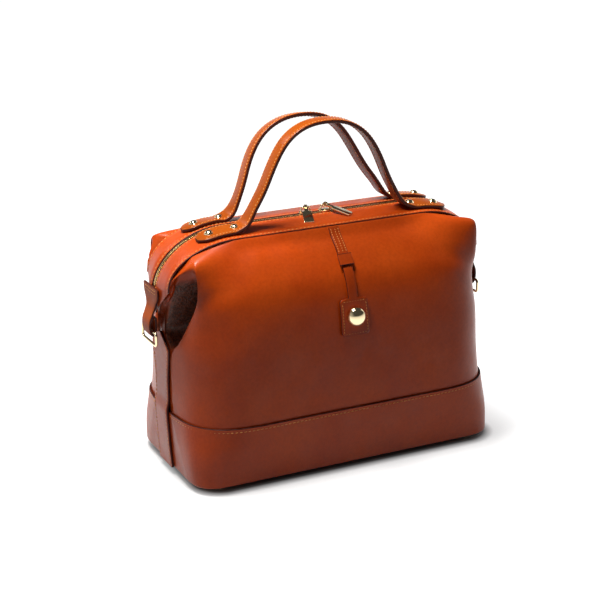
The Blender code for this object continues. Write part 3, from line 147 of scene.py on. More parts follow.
def length_along(line):
    """The distance from a line's start to each of its points."""
    return np.concatenate([[0], np.cumsum(np.linalg.norm(np.diff(line, axis=0), axis=1))])


def sampled(at, keys, line):
    """A line's point, or several, where the rising keys of its points reach a value."""
    return np.stack([np.interp(at, keys, line[:, k]) for k in range(line.shape[1])], axis=-1)


def blurred(grid, sigma, axis):
    """A grid smoothed along an axis, with its two ends kept."""
    reach = int(ceil(3 * sigma))
    kernel = np.exp(-0.5 * (np.arange(-reach, reach + 1) / sigma) ** 2)
    kernel /= kernel.sum()
    g = np.moveaxis(np.asarray(grid, float), axis, 0)
    head = 2 * g[:1] - g[1:reach + 1][::-1]
    tail = 2 * g[-1:] - g[-reach - 1:-1][::-1]
    padded = np.concatenate([head, g, tail])
    out = sum(w * padded[k:k + len(g)] for k, w in enumerate(kernel))
    return np.moveaxis(out, 0, axis)


def units(vectors):
    return np.array([unit(v) for v in vectors])


def tangents(line):
    return units(np.gradient(np.asarray(line, float), axis=0))


def grid_normals(grid):
    """Unit normals of a grid of points: along its rows crossed with up its columns."""
    n = np.cross(np.gradient(grid, axis=1), np.gradient(grid, axis=0))
    return n / np.maximum(np.linalg.norm(n, axis=2, keepdims=True), 1e-12)


def circle(centre, side, other, radius, count):
    """Points round a centre, in the plane of two directions."""
    return [centre + (side * cos(a) + other * sin(a)) * radius
            for a in np.linspace(0, 2 * pi, count, endpoint=False)]


def added(name, data):
    """A new object in the scene."""
    made = bpy.data.objects.new(name, data)
    bpy.context.scene.collection.objects.link(made)
    return made


# Pieces: meshes gathered from grids, straps, turned shapes and stitches

THREAD_SLOT = 2
# Where a strap's crowned face has points, in shares of its half width
FACE_POINTS = (0.82, 0.6, 0.3, 0, -0.3, -0.6, -0.82)
# A stitch's rings: place along it, radius and rise, in shares
STITCH_RINGS = ((-0.5, 0.3, -0.5), (-0.38, 0.85, -0.1), (-0.15, 1, 0.12),
                (0.15, 1, 0.12), (0.38, 0.85, -0.1), (0.5, 0.3, -0.5))
STITCH_SINK, STITCH_SLANT = 0.08, 0.1


class Piece:
    def __init__(self, name):
        self.name, self.verts, self.faces, self.slots, self.marks = name, [], [], [], []

    def grid(self, points, slots=0, marks=None, closed=False, caps=None):
        """Adds a grid of points. Slots is one material or one for each column."""
        points = np.asarray(points, float)
        rows, cols = points.shape[:2]
        start = len(self.verts)
        self.verts.extend((points * MM).reshape(-1, 3).tolist())
        marks = np.zeros((rows, cols)) if marks is None else np.asarray(marks, float)
        self.marks.extend(marks.reshape(-1).tolist())
        for i in range(rows - 1):
            for j in range(cols if closed else cols - 1):
                a, b = start + i * cols + j, start + i * cols + (j + 1) % cols
                self.faces.append((a, b, b + cols, a + cols))
                self.slots.append(slots if isinstance(slots, int) else slots[j])
        if caps is not None:
            self.faces.append(tuple(range(start, start + cols))[::-1])
            self.faces.append(tuple(range(start + (rows - 1) * cols, start + rows * cols)))
            self.slots += [caps, caps]

    def strap(self, line, across, normal, half, thickness, slots=(0, 1), crown=0, radius=0.5):
        """A strap of a half width along a line on its back, with softened edges. Slots are the
        materials of its face, of its edges and, where that differs, of its back."""
        count, t = len(line), thickness
        across, normal = np.broadcast_to(across, (count, 3)), np.broadcast_to(normal, (count, 3))
        rows = []
        for p, a, n, w in zip(line, across, normal, np.broadcast_to(half, (count,))):
            r = min(radius, w * 0.4, t * 0.45)
            side = [(w - r, 0), (w - 0.3 * r, 0.3 * r), (w, r), (w, t - r),
                    (w - 0.3 * r, t - 0.3 * r), (w - r, t)]
            face = [(s * (w - r), t + crown * (1 - s * s) ** 0.8) for s in FACE_POINTS]
            section = [(r - w, 0)] + side + face + [(-x, z) for x, z in side[:0:-1]]
            rows.append([p + a * x + n * z for x, z in section])
        face_slot, edge_slot, back_slot = (*slots, slots[0])[:3]
        each = [back_slot] + [edge_slot] * 4 + [face_slot] * 10 + [edge_slot] * 4
        self.grid(rows, each, closed=True, caps=edge_slot)

    def turned(self, profile, centre, axis, sides):
        """A shape turned about an axis, from (radius, height) points."""
        side = unit(np.cross(axis, vec(0.3, 0.8, 0.52)))
        other = np.cross(axis, side)
        self.grid([circle(centre + axis * z, side, other, r, sides) for r, z in profile],
                  closed=True, caps=0)

    def tube(self, line, radius, slot=0, sides=12, closed=False):
        """A round wire or roll along a line, of one radius or one for each point."""
        line = np.asarray(line, float)
        if closed:
            along = units(np.roll(line, -1, 0) - np.roll(line, 1, 0))
        else:
            along = tangents(line)
        side = unit(np.cross(along[0], vec(0.31, 0.62, 0.71)))
        rows = []
        for p, t, wide in zip(line, along, np.broadcast_to(radius, (len(line),))):
            side = unit(side - t * side.dot(t))
            rows.append(circle(p, side, np.cross(t, side), wide, sides))
        if closed:
            rows.append(rows[0])
        self.grid(rows, slot, closed=True, caps=None if closed else slot)

    def stitches(self, line, normals, pitch=3.8, length=2.7, radius=0.42, trim=2.5):
        """A row of thread stitches along a line on a surface, at least trim from its ends."""
        line = np.asarray(line, float)
        normals = np.broadcast_to(normals, line.shape)
        run = length_along(line)
        count = int((run[-1] - 2 * trim) / pitch)
        first = (run[-1] - (count - 1) * pitch) / 2
        for k in range(count):
            s = first + k * pitch
            start, middle, end = sampled(s + vec(-0.5, 0, 0.5) * length, run, line)
            n, t = unit(sampled(s, run, normals)), unit(end - start)
            t = unit(t + np.cross(n, t) * STITCH_SLANT)
            side = np.cross(n, t)
            rows = [circle(middle + t * (d * length) + n * (lift * radius - STITCH_SINK),
                           side, n, radius * r, 6) for d, r, lift in STITCH_RINGS]
            self.grid(rows, THREAD_SLOT, closed=True, caps=THREAD_SLOT)

    def build(self, look, sharp, body, *stands_for):
        """Makes the object. Edges of more than so many degrees stay sharp. A look is a material
        slot and its materials."""
        slot, materials = look
        mesh = bpy.data.meshes.new(self.name)
        mesh.from_pydata(self.verts, [], self.faces)
        mesh.update()
        for material in materials:
            mesh.materials.append(material)
        mesh.polygons.foreach_set("material_index", self.slots)
        attribute = mesh.attributes.new("mark", "FLOAT", "POINT")
        attribute.data.foreach_set("value", self.marks)
        mesh.shade_smooth()
        mesh.set_sharp_from_angle(angle=radians(sharp))
        made = added(self.name, mesh)
        if body:
            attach(made, body)
        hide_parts(*stands_for)
        return made


# The bag's own surfaces, as in the model

# How far the fuller shoulder draws the top panel's end in
TOP_PULL = 6


def top_point(run, turn, tail, across, pull=0):
    """A point of the front top panel's left half. Pull draws its end in towards its edge."""
    flat, high = blend(*TOP_FLAT, across), blend(*TOP_HEIGHT, across)
    drop, end = blend(*TOP_DROP, across), blend(*TOP_END, across)
    reach = blend(*TOP_REACH, across) - flat - pull * smooth(across)
    y = -blend(ZIP_HALF, TOP_HALF_WIDTH, across)
    angle = turn * pi / 2
    x = -flat * run - reach * sin(angle)
    z = high - drop * (1 - cos(angle))
    return vec(x, y, z - (high - drop - end) * tail)


def top_normal(run, turn, tail, across, pull=0):
    step = 0.02
    a = top_point(run, turn, tail, across - step, pull)
    b = top_point(run, turn, tail, across + step, pull)
    if tail > 0 or turn >= 1:
        along = vec(0, 0, -1)
    elif turn > 0:
        along = (top_point(run, turn + step, tail, across, pull)
                 - top_point(run, turn - step, tail, across, pull))
    else:
        along = vec(-1, 0, 0)
    return unit(np.cross(along, b - a))


def across_share(y):
    return (y - ZIP_HALF) / (TOP_HALF_WIDTH - ZIP_HALF)


def top_under(x, y):
    across = across_share(y)
    flat, reach = blend(*TOP_FLAT, across), blend(*TOP_REACH, across)
    if abs(x) <= flat:
        key = (abs(x) / flat, 0, 0, across)
    else:
        key = (1, asin((abs(x) - flat) / (reach - flat)) / (pi / 2), 0, across)
    return top_point(*key), top_normal(*key)


def lapped(turn, tail, run=1, lap=TOP_LAP, pull=0):
    """A point under the top panel, so far in from its edge."""
    across = across_share(TOP_HALF_WIDTH - lap)
    under = np.interp(lap, (0, TOP_LAP, 3 * TOP_LAP), (0.9, 1.6, 2.2))
    return (top_point(run, turn, tail, across, pull)
            - top_normal(run, turn, tail, across, pull) * under)


def body_place(x, y, z):
    return vec(-HALF_LENGTH * x, -HALF_DEPTH * y - MEETING_GAP,
               PANEL_FOOT + (PANEL_TOP - PANEL_FOOT) * z)


def changed(table, rows):
    """A table with some of its rows changed."""
    return [rows.get(k, row) for k, row in enumerate(table)]


# Edge, fold and corner of the common shoulder and of the fuller one
SHOULDERS = ((EDGE, FOLD, CORNER), (
    changed(EDGE, {9: (0.988, 0.17, 0.735), 10: (0.975, 0.27, 0.775)}),
    changed(FOLD, {8: (0.93, 0.55, 0.74), 9: (0.935, 0.61, 0.825), 10: (0.935, 0.57, 0.955)}),
    changed(CORNER, {9: (0.9, 0.74), 10: (0.895, 0.62)})))


def panel_row(i, fuller=False):
    """The left half of a row of the front panel, from the end strip to the middle. The last
    three rows lie under the top panel: at its edge, at the seam and further in."""
    if i >= len(PROFILE):
        lap = (0, TOP_LAP, TOP_LAP + 10)[i - len(PROFILE)]
        pull = TOP_PULL * fuller
        edge, crease, fold, bend = (lapped(turn, float(turn == 1), lap=lap, pull=pull)
                                    for turn in (1, 0.86, 0.46, 0.23))
        straight, middle = lapped(0, 0, lap=lap), lapped(0, 0, 0, lap)
        corner = (fold + straight) / 2
        corner[2] = bend[2]
    else:
        edge, fold, corner = (table[i] for table in SHOULDERS[fuller])
        y, z = PROFILE[i]
        edge, crease, fold = body_place(*edge), body_place(*CREASE[i]), body_place(*fold)
        middle, straight = body_place(0, y, z), body_place(STRAIGHT[i], y, z)
        corner = body_place(*corner, z)
        corner[2] = (fold[2] + straight[2]) / 2
    inward = vec(PLEAT_DEPTH * PLEAT[i], 0, 0)
    row = [edge, crease, blend(crease, fold, 0.3) + inward * 0.85,
           blend(crease, fold, 0.5) + inward, blend(crease, fold, 0.7) + inward * 0.85]
    for k in range(4):
        t = k / 4
        row.append(fold * (1 - t) ** 2 + corner * (2 * t * (1 - t)) + straight * t * t)
    row += [blend(straight, middle, k / 3) for k in range(3)]
    return row + [middle]


ROW_STEPS = 12
# Waves of the folded-in leather: their directions in radians a metre, and their phases
CRUMPLES = [((260, 90, -610), 0.3), ((-480, 300, 350), 1.7), ((900, -240, 500), 2.9)]
CRUMPLE_HEIGHT = 0.12


def panel_grid():
    """The front panel's outer face as a fine grid, rows from foot to seam and columns from
    the left end's strip to the right end's, with a mark that is 1 inside the pleats, where it
    crumples the leather and paints shade. The camera sees a fuller shoulder at the right end."""
    count = len(PROFILE) + 2
    halves = []
    for fuller in (False, True):
        tall = catmull([panel_row(i, fuller) for i in range(count)], ROW_STEPS)
        halves.append(np.concatenate([tall, [panel_row(count, fuller)]]))
    # The share of painted shade and crumple at each row
    depth = np.interp(np.linspace(0, count - 1, len(halves[0]) - 1), *PLEAT_SHADE)
    rows, marks = [], []
    for left, right, share in zip(*halves, [*depth, 0]):
        full = np.concatenate([left, flipped(right[-2::-1], 1)])
        parts = [catmull(full[0:2], 7)[:-1], catmull(full[1:6], 9)[:-1]]
        outer = catmull(full[5:20], 8)
        # The mark across a row paints shade and crumples: full on the pleat's walls, less beside
        # them
        wall = np.concatenate([np.full(7, 0.55), np.full(33, 1), [0.9, 0.6, 0.2]]) * share
        tail = [catmull(full[19:24], 9)[1:], catmull(full[23:25], 7)[1:]]
        rows.append(np.concatenate(parts + [outer] + tail))
        marks.append(np.concatenate([wall, np.zeros(len(outer)), wall[::-1]]))
    grid = blurred(np.array(rows), 1.5, 1)
    grid[:-ROW_STEPS] = blurred(grid[:-ROW_STEPS], 1.6, 0)
    mark = np.array(marks)
    crumple = sum(np.sin(grid * MM @ vec(*wave) + phase) for wave, phase in CRUMPLES)
    return grid + grid_normals(grid) * (crumple * CRUMPLE_HEIGHT * mark)[..., None], mark


PANEL, PANEL_MARK = panel_grid()
PANEL_NORMAL = grid_normals(PANEL)
# Above this height a panel's edge is tucked in, and no further out than this
TUCK_START, TUCK_REACH = 130, 153.2


def tucked(grid):
    """A panel grid with one more column at each end, tucked up behind the top panel's end."""
    columns = []
    for column, out in ((grid[:, 0], -3.6), (grid[:, -1], -0.9)):
        share = smooth((column[:, 2:] - TUCK_START) / 12)
        moved = column + vec(out, 0.6, 5) * share + vec(0, 0.2, 0)
        moved[:, 0] = np.clip(moved[:, 0], -TUCK_REACH, TUCK_REACH)
        columns.append(moved)
    return np.concatenate([columns[0][:, None], grid, columns[1][:, None]], axis=1)


# Materials

# The painted shade inside a pleat: a dark colour that stands in for the shade there
PLEAT_PAINTED_SHADE = (0.11, 0.027, 0.01)


def shader(name):
    made = bpy.data.materials.new(name)
    made.use_nodes = True
    tree = made.node_tree
    return made, tree, tree.nodes["Principled BSDF"]


def wired(tree, target, inputs):
    """Sets a node's inputs: a socket is linked, anything else is its value."""
    for key, value in dict(inputs).items():
        if isinstance(value, bpy.types.NodeSocket):
            tree.links.new(value, target.inputs[key])
        else:
            target.inputs[key].default_value = value


def node(tree, kind, inputs=(), **settings):
    made = tree.nodes.new("ShaderNode" + kind)
    for key, value in settings.items():
        setattr(made, key, value)
    wired(tree, made, inputs)
    return made


def calculated(tree, operation, *inputs):
    return node(tree, "Math", enumerate(inputs), operation=operation).outputs["Value"]


def highest(tree, first, *others):
    for value in others:
        first = calculated(tree, "MAXIMUM", first, value)
    return first


def mapped(tree, source, low, high, to_low, to_high):
    return node(tree, "MapRange", {"Value": source, "From Min": low, "From Max": high,
                                   "To Min": to_low, "To Max": to_high}).outputs["Result"]


def place(tree):
    """The bag's own coordinates, from one node in each material."""
    made = tree.nodes.get("place") or node(tree, "TexCoord")
    made.name = "place"
    return made.outputs["Object"]


def noise(tree, scale, detail=3, rough=0.55):
    """Noise over the bag's own coordinates; scale is in features a metre."""
    return node(tree, "TexNoise", {"Vector": place(tree), "Scale": scale, "Detail": detail,
                                   "Roughness": rough}).outputs["Fac"]


def ramp(tree, source, stops):
    made = node(tree, "ValToRGB", {"Fac": source})
    elements = made.color_ramp.elements
    elements[0].position, elements[0].color = stops[0]
    elements[1].position, elements[1].color = stops[-1]
    for at, colour in stops[1:-1]:
        elements.new(at).color = colour
    return made.outputs["Color"]


def rgba(colour, value=1):
    return (*[c * value for c in colour], 1)


def mixed(tree, a, b, factor, mode="MIX"):
    """Mixes two colours, each a socket or a colour, by a socket or a number."""
    made = node(tree, "Mix", data_type="RGBA", blend_type=mode)
    colours = [k for k, socket in enumerate(made.inputs) if socket.type == "RGBA"]
    wired(tree, made, {"Factor": factor, colours[0]: a, colours[1]: b})
    return next(socket for socket in made.outputs if socket.type == "RGBA")


def bump(tree, surface, layers):
    """Chains bumps from (height socket, strength, distance)."""
    last = {}
    for height, strength, distance in layers:
        made = node(tree, "Bump", {"Height": height, "Strength": strength,
                                   "Distance": distance, **last})
        last = {"Normal": made.outputs["Normal"]}
    wired(tree, surface, last)


def leather(name, colour, deep, roughness=0.34, coat=0.08, grain=1, gloss=0.2):
    """Smooth cowhide: soft blotches, fine pores, and where marked a rough crumple with painted
    shade.
    """
    made, tree, surface = shader(name)
    mark = node(tree, "Attribute", attribute_name="mark").outputs["Fac"]
    blotch = ramp(tree, noise(tree, 22, 4), [(0.3, rgba(deep)), (0.68, rgba(colour))])
    mottle = ramp(tree, noise(tree, 380), [(0.3, (0.86, 0.84, 0.82, 1)), (0.62, (1, 1, 1, 1))])
    tone = mixed(tree, blotch, mottle, 0.8, "MULTIPLY")
    crumple = noise(tree, 420, 5, 0.65)
    # Painted shade where marked, lighter and darker with the crumple
    painted_pleat_shade = ramp(tree, crumple, [(0.38, rgba(PLEAT_PAINTED_SHADE, 0.45)),
                                   (0.62, rgba(PLEAT_PAINTED_SHADE, 1.9))])
    wired(tree, surface, {
        "Base Color": mixed(tree, tone, painted_pleat_shade, mark), "Specular IOR Level": gloss,
        "Roughness": mapped(tree, noise(tree, 60), 0.3, 0.7, roughness - 0.05, roughness + 0.07),
        "Coat Weight": coat, "Coat Roughness": 0.2})
    pores = node(tree, "TexVoronoi", {"Vector": place(tree), "Scale": 1100}).outputs["Distance"]
    folded = calculated(tree, "MULTIPLY", crumple, mark)
    bump(tree, surface, [(pores, 0.1 * grain, 0.0003), (noise(tree, 900), 0.12 * grain, 0.0003),
                         (noise(tree, 34), 0.25, 0.0016), (folded, 0.8, 0.0013)])
    return made


def plain(name, colour, roughness, scale=900):
    """A small-scale material: edge paint, thread, board."""
    made, tree, surface = shader(name)
    tone = ramp(tree, noise(tree, scale, 4), [(0.3, rgba(colour, 0.88)), (0.7, rgba(colour, 1.12))])
    wired(tree, surface, {"Base Color": tone, "Roughness": roughness, "Specular IOR Level": 0.2})
    bump(tree, surface, [(noise(tree, scale * 2), 0.35, 0.0002)])
    return made


def woven(name, colour, pitch):
    """Cloth with crossing threads of a pitch."""
    made, tree, surface = shader(name)
    inputs = {"Vector": place(tree), "Scale": 1 / pitch / 3.2, "Distortion": 1.2}
    height = calculated(tree, "MULTIPLY", *(
        node(tree, "TexWave", inputs, bands_direction=way).outputs["Fac"] for way in "XY"))
    tone = ramp(tree, height, [(0, rgba(colour, 0.7)), (1, rgba(colour, 1.15))])
    wired(tree, surface, {"Base Color": tone, "Roughness": 0.85})
    bump(tree, surface, [(height, 0.5, 0.0002)])
    return made


def metal(name, colour, roughness=0.13):
    made, tree, surface = shader(name)
    tone = ramp(tree, noise(tree, 180), [(0.3, rgba(colour, 0.93)), (0.7, rgba(colour))])
    worn = mapped(tree, noise(tree, 500, 4), 0.3, 0.75, roughness - 0.04, roughness + 0.06)
    wired(tree, surface, {"Base Color": tone, "Metallic": 1, "Roughness": worn})
    bump(tree, surface, [(noise(tree, 700, 2), 0.04, 0.0002)])
    return made


TAN = leather("tan_leather", (0.66, 0.084, 0.006), (0.54, 0.058, 0.003))
STRAP = leather("strap_leather", (0.43, 0.084, 0.004), (0.35, 0.062, 0.002), 0.3, 0.12, 1, 0.14)
STRAP_BACK = leather("strap_back", (0.27, 0.066, 0.024), (0.22, 0.05, 0.017), 0.42, 0.05)
FRONT = leather("front_leather", (0.47, 0.057, 0.005), (0.39, 0.042, 0.003))
TAB = leather("tab_leather", (0.52, 0.095, 0.011), (0.4, 0.066, 0.007), 0.5, 0, 1.4, 0.15)
EDGE_PAINT = plain("edge_paint", (0.075, 0.013, 0.006), 0.42)
THREAD = plain("thread", (0.8, 0.33, 0.09), 0.6, scale=2500)
GOLD = metal("pale_gold", (0.9, 0.74, 0.46))
TOOTH = metal("zip_metal", (0.78, 0.52, 0.2), 0.24)
TAPE = woven("zip_tape", (0.1, 0.035, 0.02), 0.0006)
LINING = woven("lining_cloth", (0.42, 0.33, 0.24), 0.0007)
BOARD = plain("stiffener_board", (0.3, 0.28, 0.25), 0.85)
SOLE = leather("sole_leather", (0.16, 0.06, 0.03), (0.12, 0.045, 0.022), 0.6, 0, 2)
# Looks: a material slot and its materials
SEWN = [EDGE_PAINT, THREAD]
TANS, LEATHERS = ("tan_leather", [TAN]), ("tan_leather", [TAN, *SEWN])
HANDLES, TABS, FRONTS = (("strap_leather", materials) for materials in (
    [STRAP, *SEWN, STRAP_BACK], [TAB, *SEWN], [FRONT, *SEWN]))
GOLDS, TEETH = ("pale_gold", [GOLD]), ("pale_gold", [TOOTH])
TAPES, CLOTH = ("zip_tape", [TAPE]), ("lining_cloth", [LINING])


# Body panels

PANEL_LEATHER, BAND_LEATHER, BAND_FOOT = 1.8, 2.1, 6
EAR_ROWS, EAR_COLUMN, EAR_RADIUS = (8.7, 10.5), 5, 2.6
# The band ends at the profile's third row
BAND_ROWS = 2 * ROW_STEPS + 1
# The band's turned lip, from the sole outwards, and its painted top edge: rise and inset
BAND_LIP = ((0, 6), (0, 3), (0, 1.6), (0.35, 0.75), (0.95, 0.25), (1.6, 0.06))
BAND_EDGE = ((0.3, 0.05), (0.52, 0.3), (0.6, 0.7), (0.6, 1.3), (0.3, 1.75), (-1, 1.85),
             (-4, 1.85))


def ear():
    """The middle line of the rolled leather under the front seam's left end."""
    first, last = (int(row * ROW_STEPS) for row in EAR_ROWS)
    return blurred(PANEL[first:last:2, EAR_COLUMN] + vec(-1.2, 0.8, 0), 1.5, 0)


def make_body():
    """The two body panels, which lap under the top panels and the tabs, with a rolled ear at
    the end whose shoulder is less full."""
    mark = np.pad(PANEL_MARK, ((0, 0), (1, 1)), mode="edge")
    inside = (PANEL - PANEL_NORMAL * PANEL_LEATHER)[:, ::-1][::6, ::6]
    roll = ear()
    radii = EAR_RADIUS * np.sin(np.linspace(0.12, pi - 0.12, len(roll))) ** 0.7
    for side, sign in SIDES:
        piece = Piece(side + "_panel_leather")
        piece.grid(flipped(tucked(PANEL), sign, sign), 0, mark)
        piece.grid(flipped(inside, sign, sign))
        piece.tube(flipped(roll, sign, sign), radii, sides=14)
        piece.build(TANS, 60, "bag", side + "_panel")


def make_bands():
    """The base bands: a panel's lower rows moved out, with a lip turned under at the foot."""
    out = PANEL_NORMAL[:BAND_ROWS] * vec(1, 1, 0)
    out /= np.linalg.norm(out, axis=2, keepdims=True)
    outer = PANEL[:BAND_ROWS] + out * BAND_LEATHER
    lip, edge = [], []
    for rise, inset in BAND_LIP:
        ring = outer[0] - out[0] * inset
        ring[:, 2] = BAND_FOOT + rise
        lip.append(ring)
    for rise, inset in BAND_EDGE:
        ring = outer[-1] - out[-1] * inset
        ring[:, 2] += rise
        edge.append(ring)
    seam = outer[-1] - vec(0, 0, 2.6)
    for side, sign in SIDES:
        piece = Piece(side + "_band_leather")
        for slot, grid in enumerate((np.array(lip + list(outer)), np.array([outer[-1]] + edge))):
            piece.grid(flipped(grid, sign, sign), slot)
        piece.stitches(flipped(seam, sign, sign), flipped(out[-1], sign, sign), trim=2)
        piece.build(LEATHERS, 50, "bag", side + "_base_band")


# Top panels

# The raised border's width, and how far the leather sinks inside it
BORDER, HOLLOW = 3.2, 0.45


def top_stations():
    """Run, turn and tail along a top panel: its flat part, its bend and its end."""
    keys = [(i / 44, 0, 0) for i in range(44)]
    keys += [(1, i / 40, 0) for i in range(40)]
    return keys + [(1, 1, i / 10) for i in range(11)]


def make_top():
    """The two top panels, each with turned edges and a row of stitches along both."""
    width = TOP_HALF_WIDTH - ZIP_HALF
    section = [(0, 2), (0, 1.3), (0, 0.7), (0.12, 0.35), (0.35, 0.1), (0.8, 0)]
    section += [(d, -HOLLOW * smooth((d - BORDER) / 5) * smooth((width - BORDER - d) / 5))
                for d in np.linspace(1.8, width - 1.8, 24)]
    section += [(width - 0.8, 0), (width - 0.35, 0.1), (width - 0.1, 0.35), (width, 0.7),
                (width, 1.2), (width - 0.2, 1.5), (width - 6, 1.8)]
    slots = [1] * 4 + [0] * (len(section) - 11) + [1] * 6
    seams = (2.6 / width, 1 - 2.7 / width)
    halves = []
    for pull in (0, TOP_PULL):
        rows = []
        for key in top_stations()[::-1]:
            row = [top_point(*key, d / width, pull) - top_normal(*key, d / width, pull) * sink
                   for d, sink in section]
            row += [at(*key, share, pull) for at in (top_point, top_normal) for share in seams]
            rows.append(row)
        halves.append(np.array(rows))
    whole = np.concatenate([halves[0], flipped(halves[1][-2::-1], 1)])
    for side, sign in SIDES:
        piece = Piece(side + "_top_leather")
        placed = flipped(whole, sign, sign)
        piece.grid(placed[:, :-4], slots)
        for k in (-4, -3):
            piece.stitches(placed[:, k], placed[:, k + 2], trim=3)
        piece.build(LEATHERS, 50, "bag", side + "_top_panel")


# Zip

ZIP_LOW, TOOTH_PITCH = 166, 2.8
# A tape's section: distance from the middle and depth
TAPE_SECTION = ((0.3, 2.7), (0.3, 2.25), (2.6, 2.2), (11, 2.25), (11, 2.9), (0.3, 2.7))
# A tooth's layers, each a height and a size, and its outline's right half
TOOTH_LAYERS = ((-1.9, 0.8), (-1.75, 1), (-0.75, 1), (-0.42, 0.86), (-0.3, 0.6))
TOOTH_HALF = [(0.62, -2.7), (0.7, -1.2), (0.58, 0.35), (0.66, 0.9), (0.35, 1.25)]


def zip_line():
    """The zip's middle line on the top panels' outer face, left end to right, and its normals."""
    half = np.array([(top_point(*key, 0), top_normal(*key, 0)) for key in top_stations()])
    half = half[half[:, 0, 2] > ZIP_LOW] * vec(1, 0, 1)
    whole = np.concatenate([half[::-1], flipped(half[1:], 1)])
    return whole[:, 0], units(whole[:, 1])


def make_zip():
    points, normals = zip_line()
    for side, sign in SIDES:
        tape = Piece(side + "_zip_tape_cloth")
        rows = np.array([points + vec(0, sign * y, 0) - normals * drop
                         for y, drop in TAPE_SECTION])
        tape.grid(rows[:, ::-1] if sign < 0 else rows)
        tape.tube(points + vec(0, sign * 2.75, 0) - normals * 1.5, 0.75, sides=8)
        tape.build(TAPES, 40, "bag", side + "_zip_tape")
    run = length_along(points)
    outline = [(-TOOTH_HALF[0][0], TOOTH_HALF[0][1])] + TOOTH_HALF
    outline += [(-u, v) for u, v in TOOTH_HALF[:0:-1]]
    for side, sign in SIDES:
        teeth = Piece(side + "_zip_teeth_metal")
        for k in range(int(run[-1] / TOOTH_PITCH)):
            s = (k + 0.5 + sign / 4) * TOOTH_PITCH
            p, n = sampled(s, run, points), unit(sampled(s, run, normals))
            t = unit(np.cross(vec(0, 1, 0), n))
            rows = [[p + t * u * grow - vec(0, sign, 0) * (v + 0.7) * (0.5 + grow / 2) + n * z
                     for u, v in outline] for z, grow in TOOTH_LAYERS]
            teeth.grid(rows, closed=True, caps=0)
        teeth.build(TEETH, 30, "bag", side + "_zip_teeth")


def rounded(half_x, half_y, radius, steps):
    ring = []
    for q, (i, j) in enumerate(((1, 1), (-1, 1), (-1, -1), (1, -1))):
        for k in range(steps + 1):
            a = (q + k / steps) * pi / 2
            ring.append((i * (half_x - radius) + radius * cos(a),
                         j * (half_y - radius) + radius * sin(a)))
    return ring


def plate(piece, centre, along, across, normal, outline, thickness, bevel):
    """A flat plate with softened edges, from an outline along and across."""
    rows = []
    for z, inset in ((0, bevel), (0.3 * bevel, 0.3 * bevel), (bevel, 0), (thickness - bevel, 0),
                     (thickness - 0.3 * bevel, 0.3 * bevel), (thickness, bevel)):
        ring = []
        for x, y in outline:
            shrink = 1 - inset / hypot(x, y)
            ring.append(centre + (along * x + across * y) * shrink + normal * z)
        rows.append(ring)
    piece.grid(rows, closed=True, caps=0)


# Sliders and pullers: half of a slider's outline, its bail, and half of a puller's outline
BAR_Z, SLIDER_Z = 225.25, 219.35
SLIDER_HALF = [(-6, 0), (-5.6, 2.6), (-4.2, 4), (-1, 4.3), (2.2, 3.9), (4.8, 2.9), (6, 1.6),
               (6.1, 0)]
BAIL = [(-4.6, 0, 220.2), (-4.4, 0, 222.5), (-3.4, 0, 224.6), (-1.8, 0, BAR_Z),
        (1.8, 0, BAR_Z), (3.4, 0, 224.6), (4.4, 0, 222.5), (4.6, 0, 220.2)]
PULLER_LENGTH, PULLER_WIDE, PULLER_MIDDLE, PULLER_THICK = 26, 4.3, 14, 1.5
PULLER_HALF = [(1.7, 1.8), (3, 1.8), (6.5, 1.8), (7.6, 1.9), (8.4, 2.6), (9.2, 3.9),
               (9.6, PULLER_WIDE), (25.3, PULLER_WIDE), (25.8, 4.1), (PULLER_LENGTH, 3.6)]


def make_sliders():
    """Each slider with its bail, and each puller hanging from the bail down to the leather."""
    across_x, across_y, up = np.eye(3)
    whole = catmull(SLIDER_HALF + [(x, -y) for x, y in SLIDER_HALF[-2::-1]], 4)[:-1]
    tongue = [(a - PULLER_MIDDLE, b) for a, b in PULLER_HALF]
    tongue += [(a, -b) for a, b in tongue[::-1]]
    for end, x, sign, yaw in (("left", -10, -1, -18), ("right", 9.5, 1, 40)):
        body = Piece(end + "_slider_metal")
        plate(body, vec(x, 0, SLIDER_Z), across_x, across_y, up,
              [(px * sign, py) for px, py in whole], 1.5, 0.45)
        body.tube(catmull(BAIL, 5) + vec(x, 0, 0), 0.8, sides=14)
        body.build(GOLDS, 30, end + "_slider", end + "_zip_slider")
        yaw = radians(yaw)
        level = vec(sin(yaw), -cos(yaw), 0)
        corner = level[1] * PULLER_LENGTH + abs(sin(yaw)) * PULLER_WIDE
        rest, _ = top_under(0, -corner)
        droop = asin((BAR_Z - rest[2] - 1.05) / PULLER_LENGTH)
        heading = level * cos(droop) - up * sin(droop)
        across = unit(np.cross(heading, up))
        normal = np.cross(across, heading)
        pivot = vec(x, 0, BAR_Z)
        tag = Piece(end + "_puller_metal")
        ring = np.array(circle(pivot + heading * 0.25, heading * 1.75, normal * 1.6, 1, 28))
        for shift in (-0.9, 0, 0.9):
            tag.tube(ring + across * shift, 0.55, sides=8, closed=True)
        plate(tag, pivot + heading * PULLER_MIDDLE - normal * PULLER_THICK / 2,
              heading, across, normal, tongue, PULLER_THICK, 0.3)
        tag.build(GOLDS, 30, end + "_puller", end + "_zip_puller")


# Handles

HANDLE_THICK, STITCH_INSET = 3.3, 2.1
HANDLE_STITCH = {"pitch": 3.1, "length": 2.1, "trim": 1.5}
ANCHOR_HALF, ARCH_HALF, HANDLE_STEP = 10.5, 8, 2


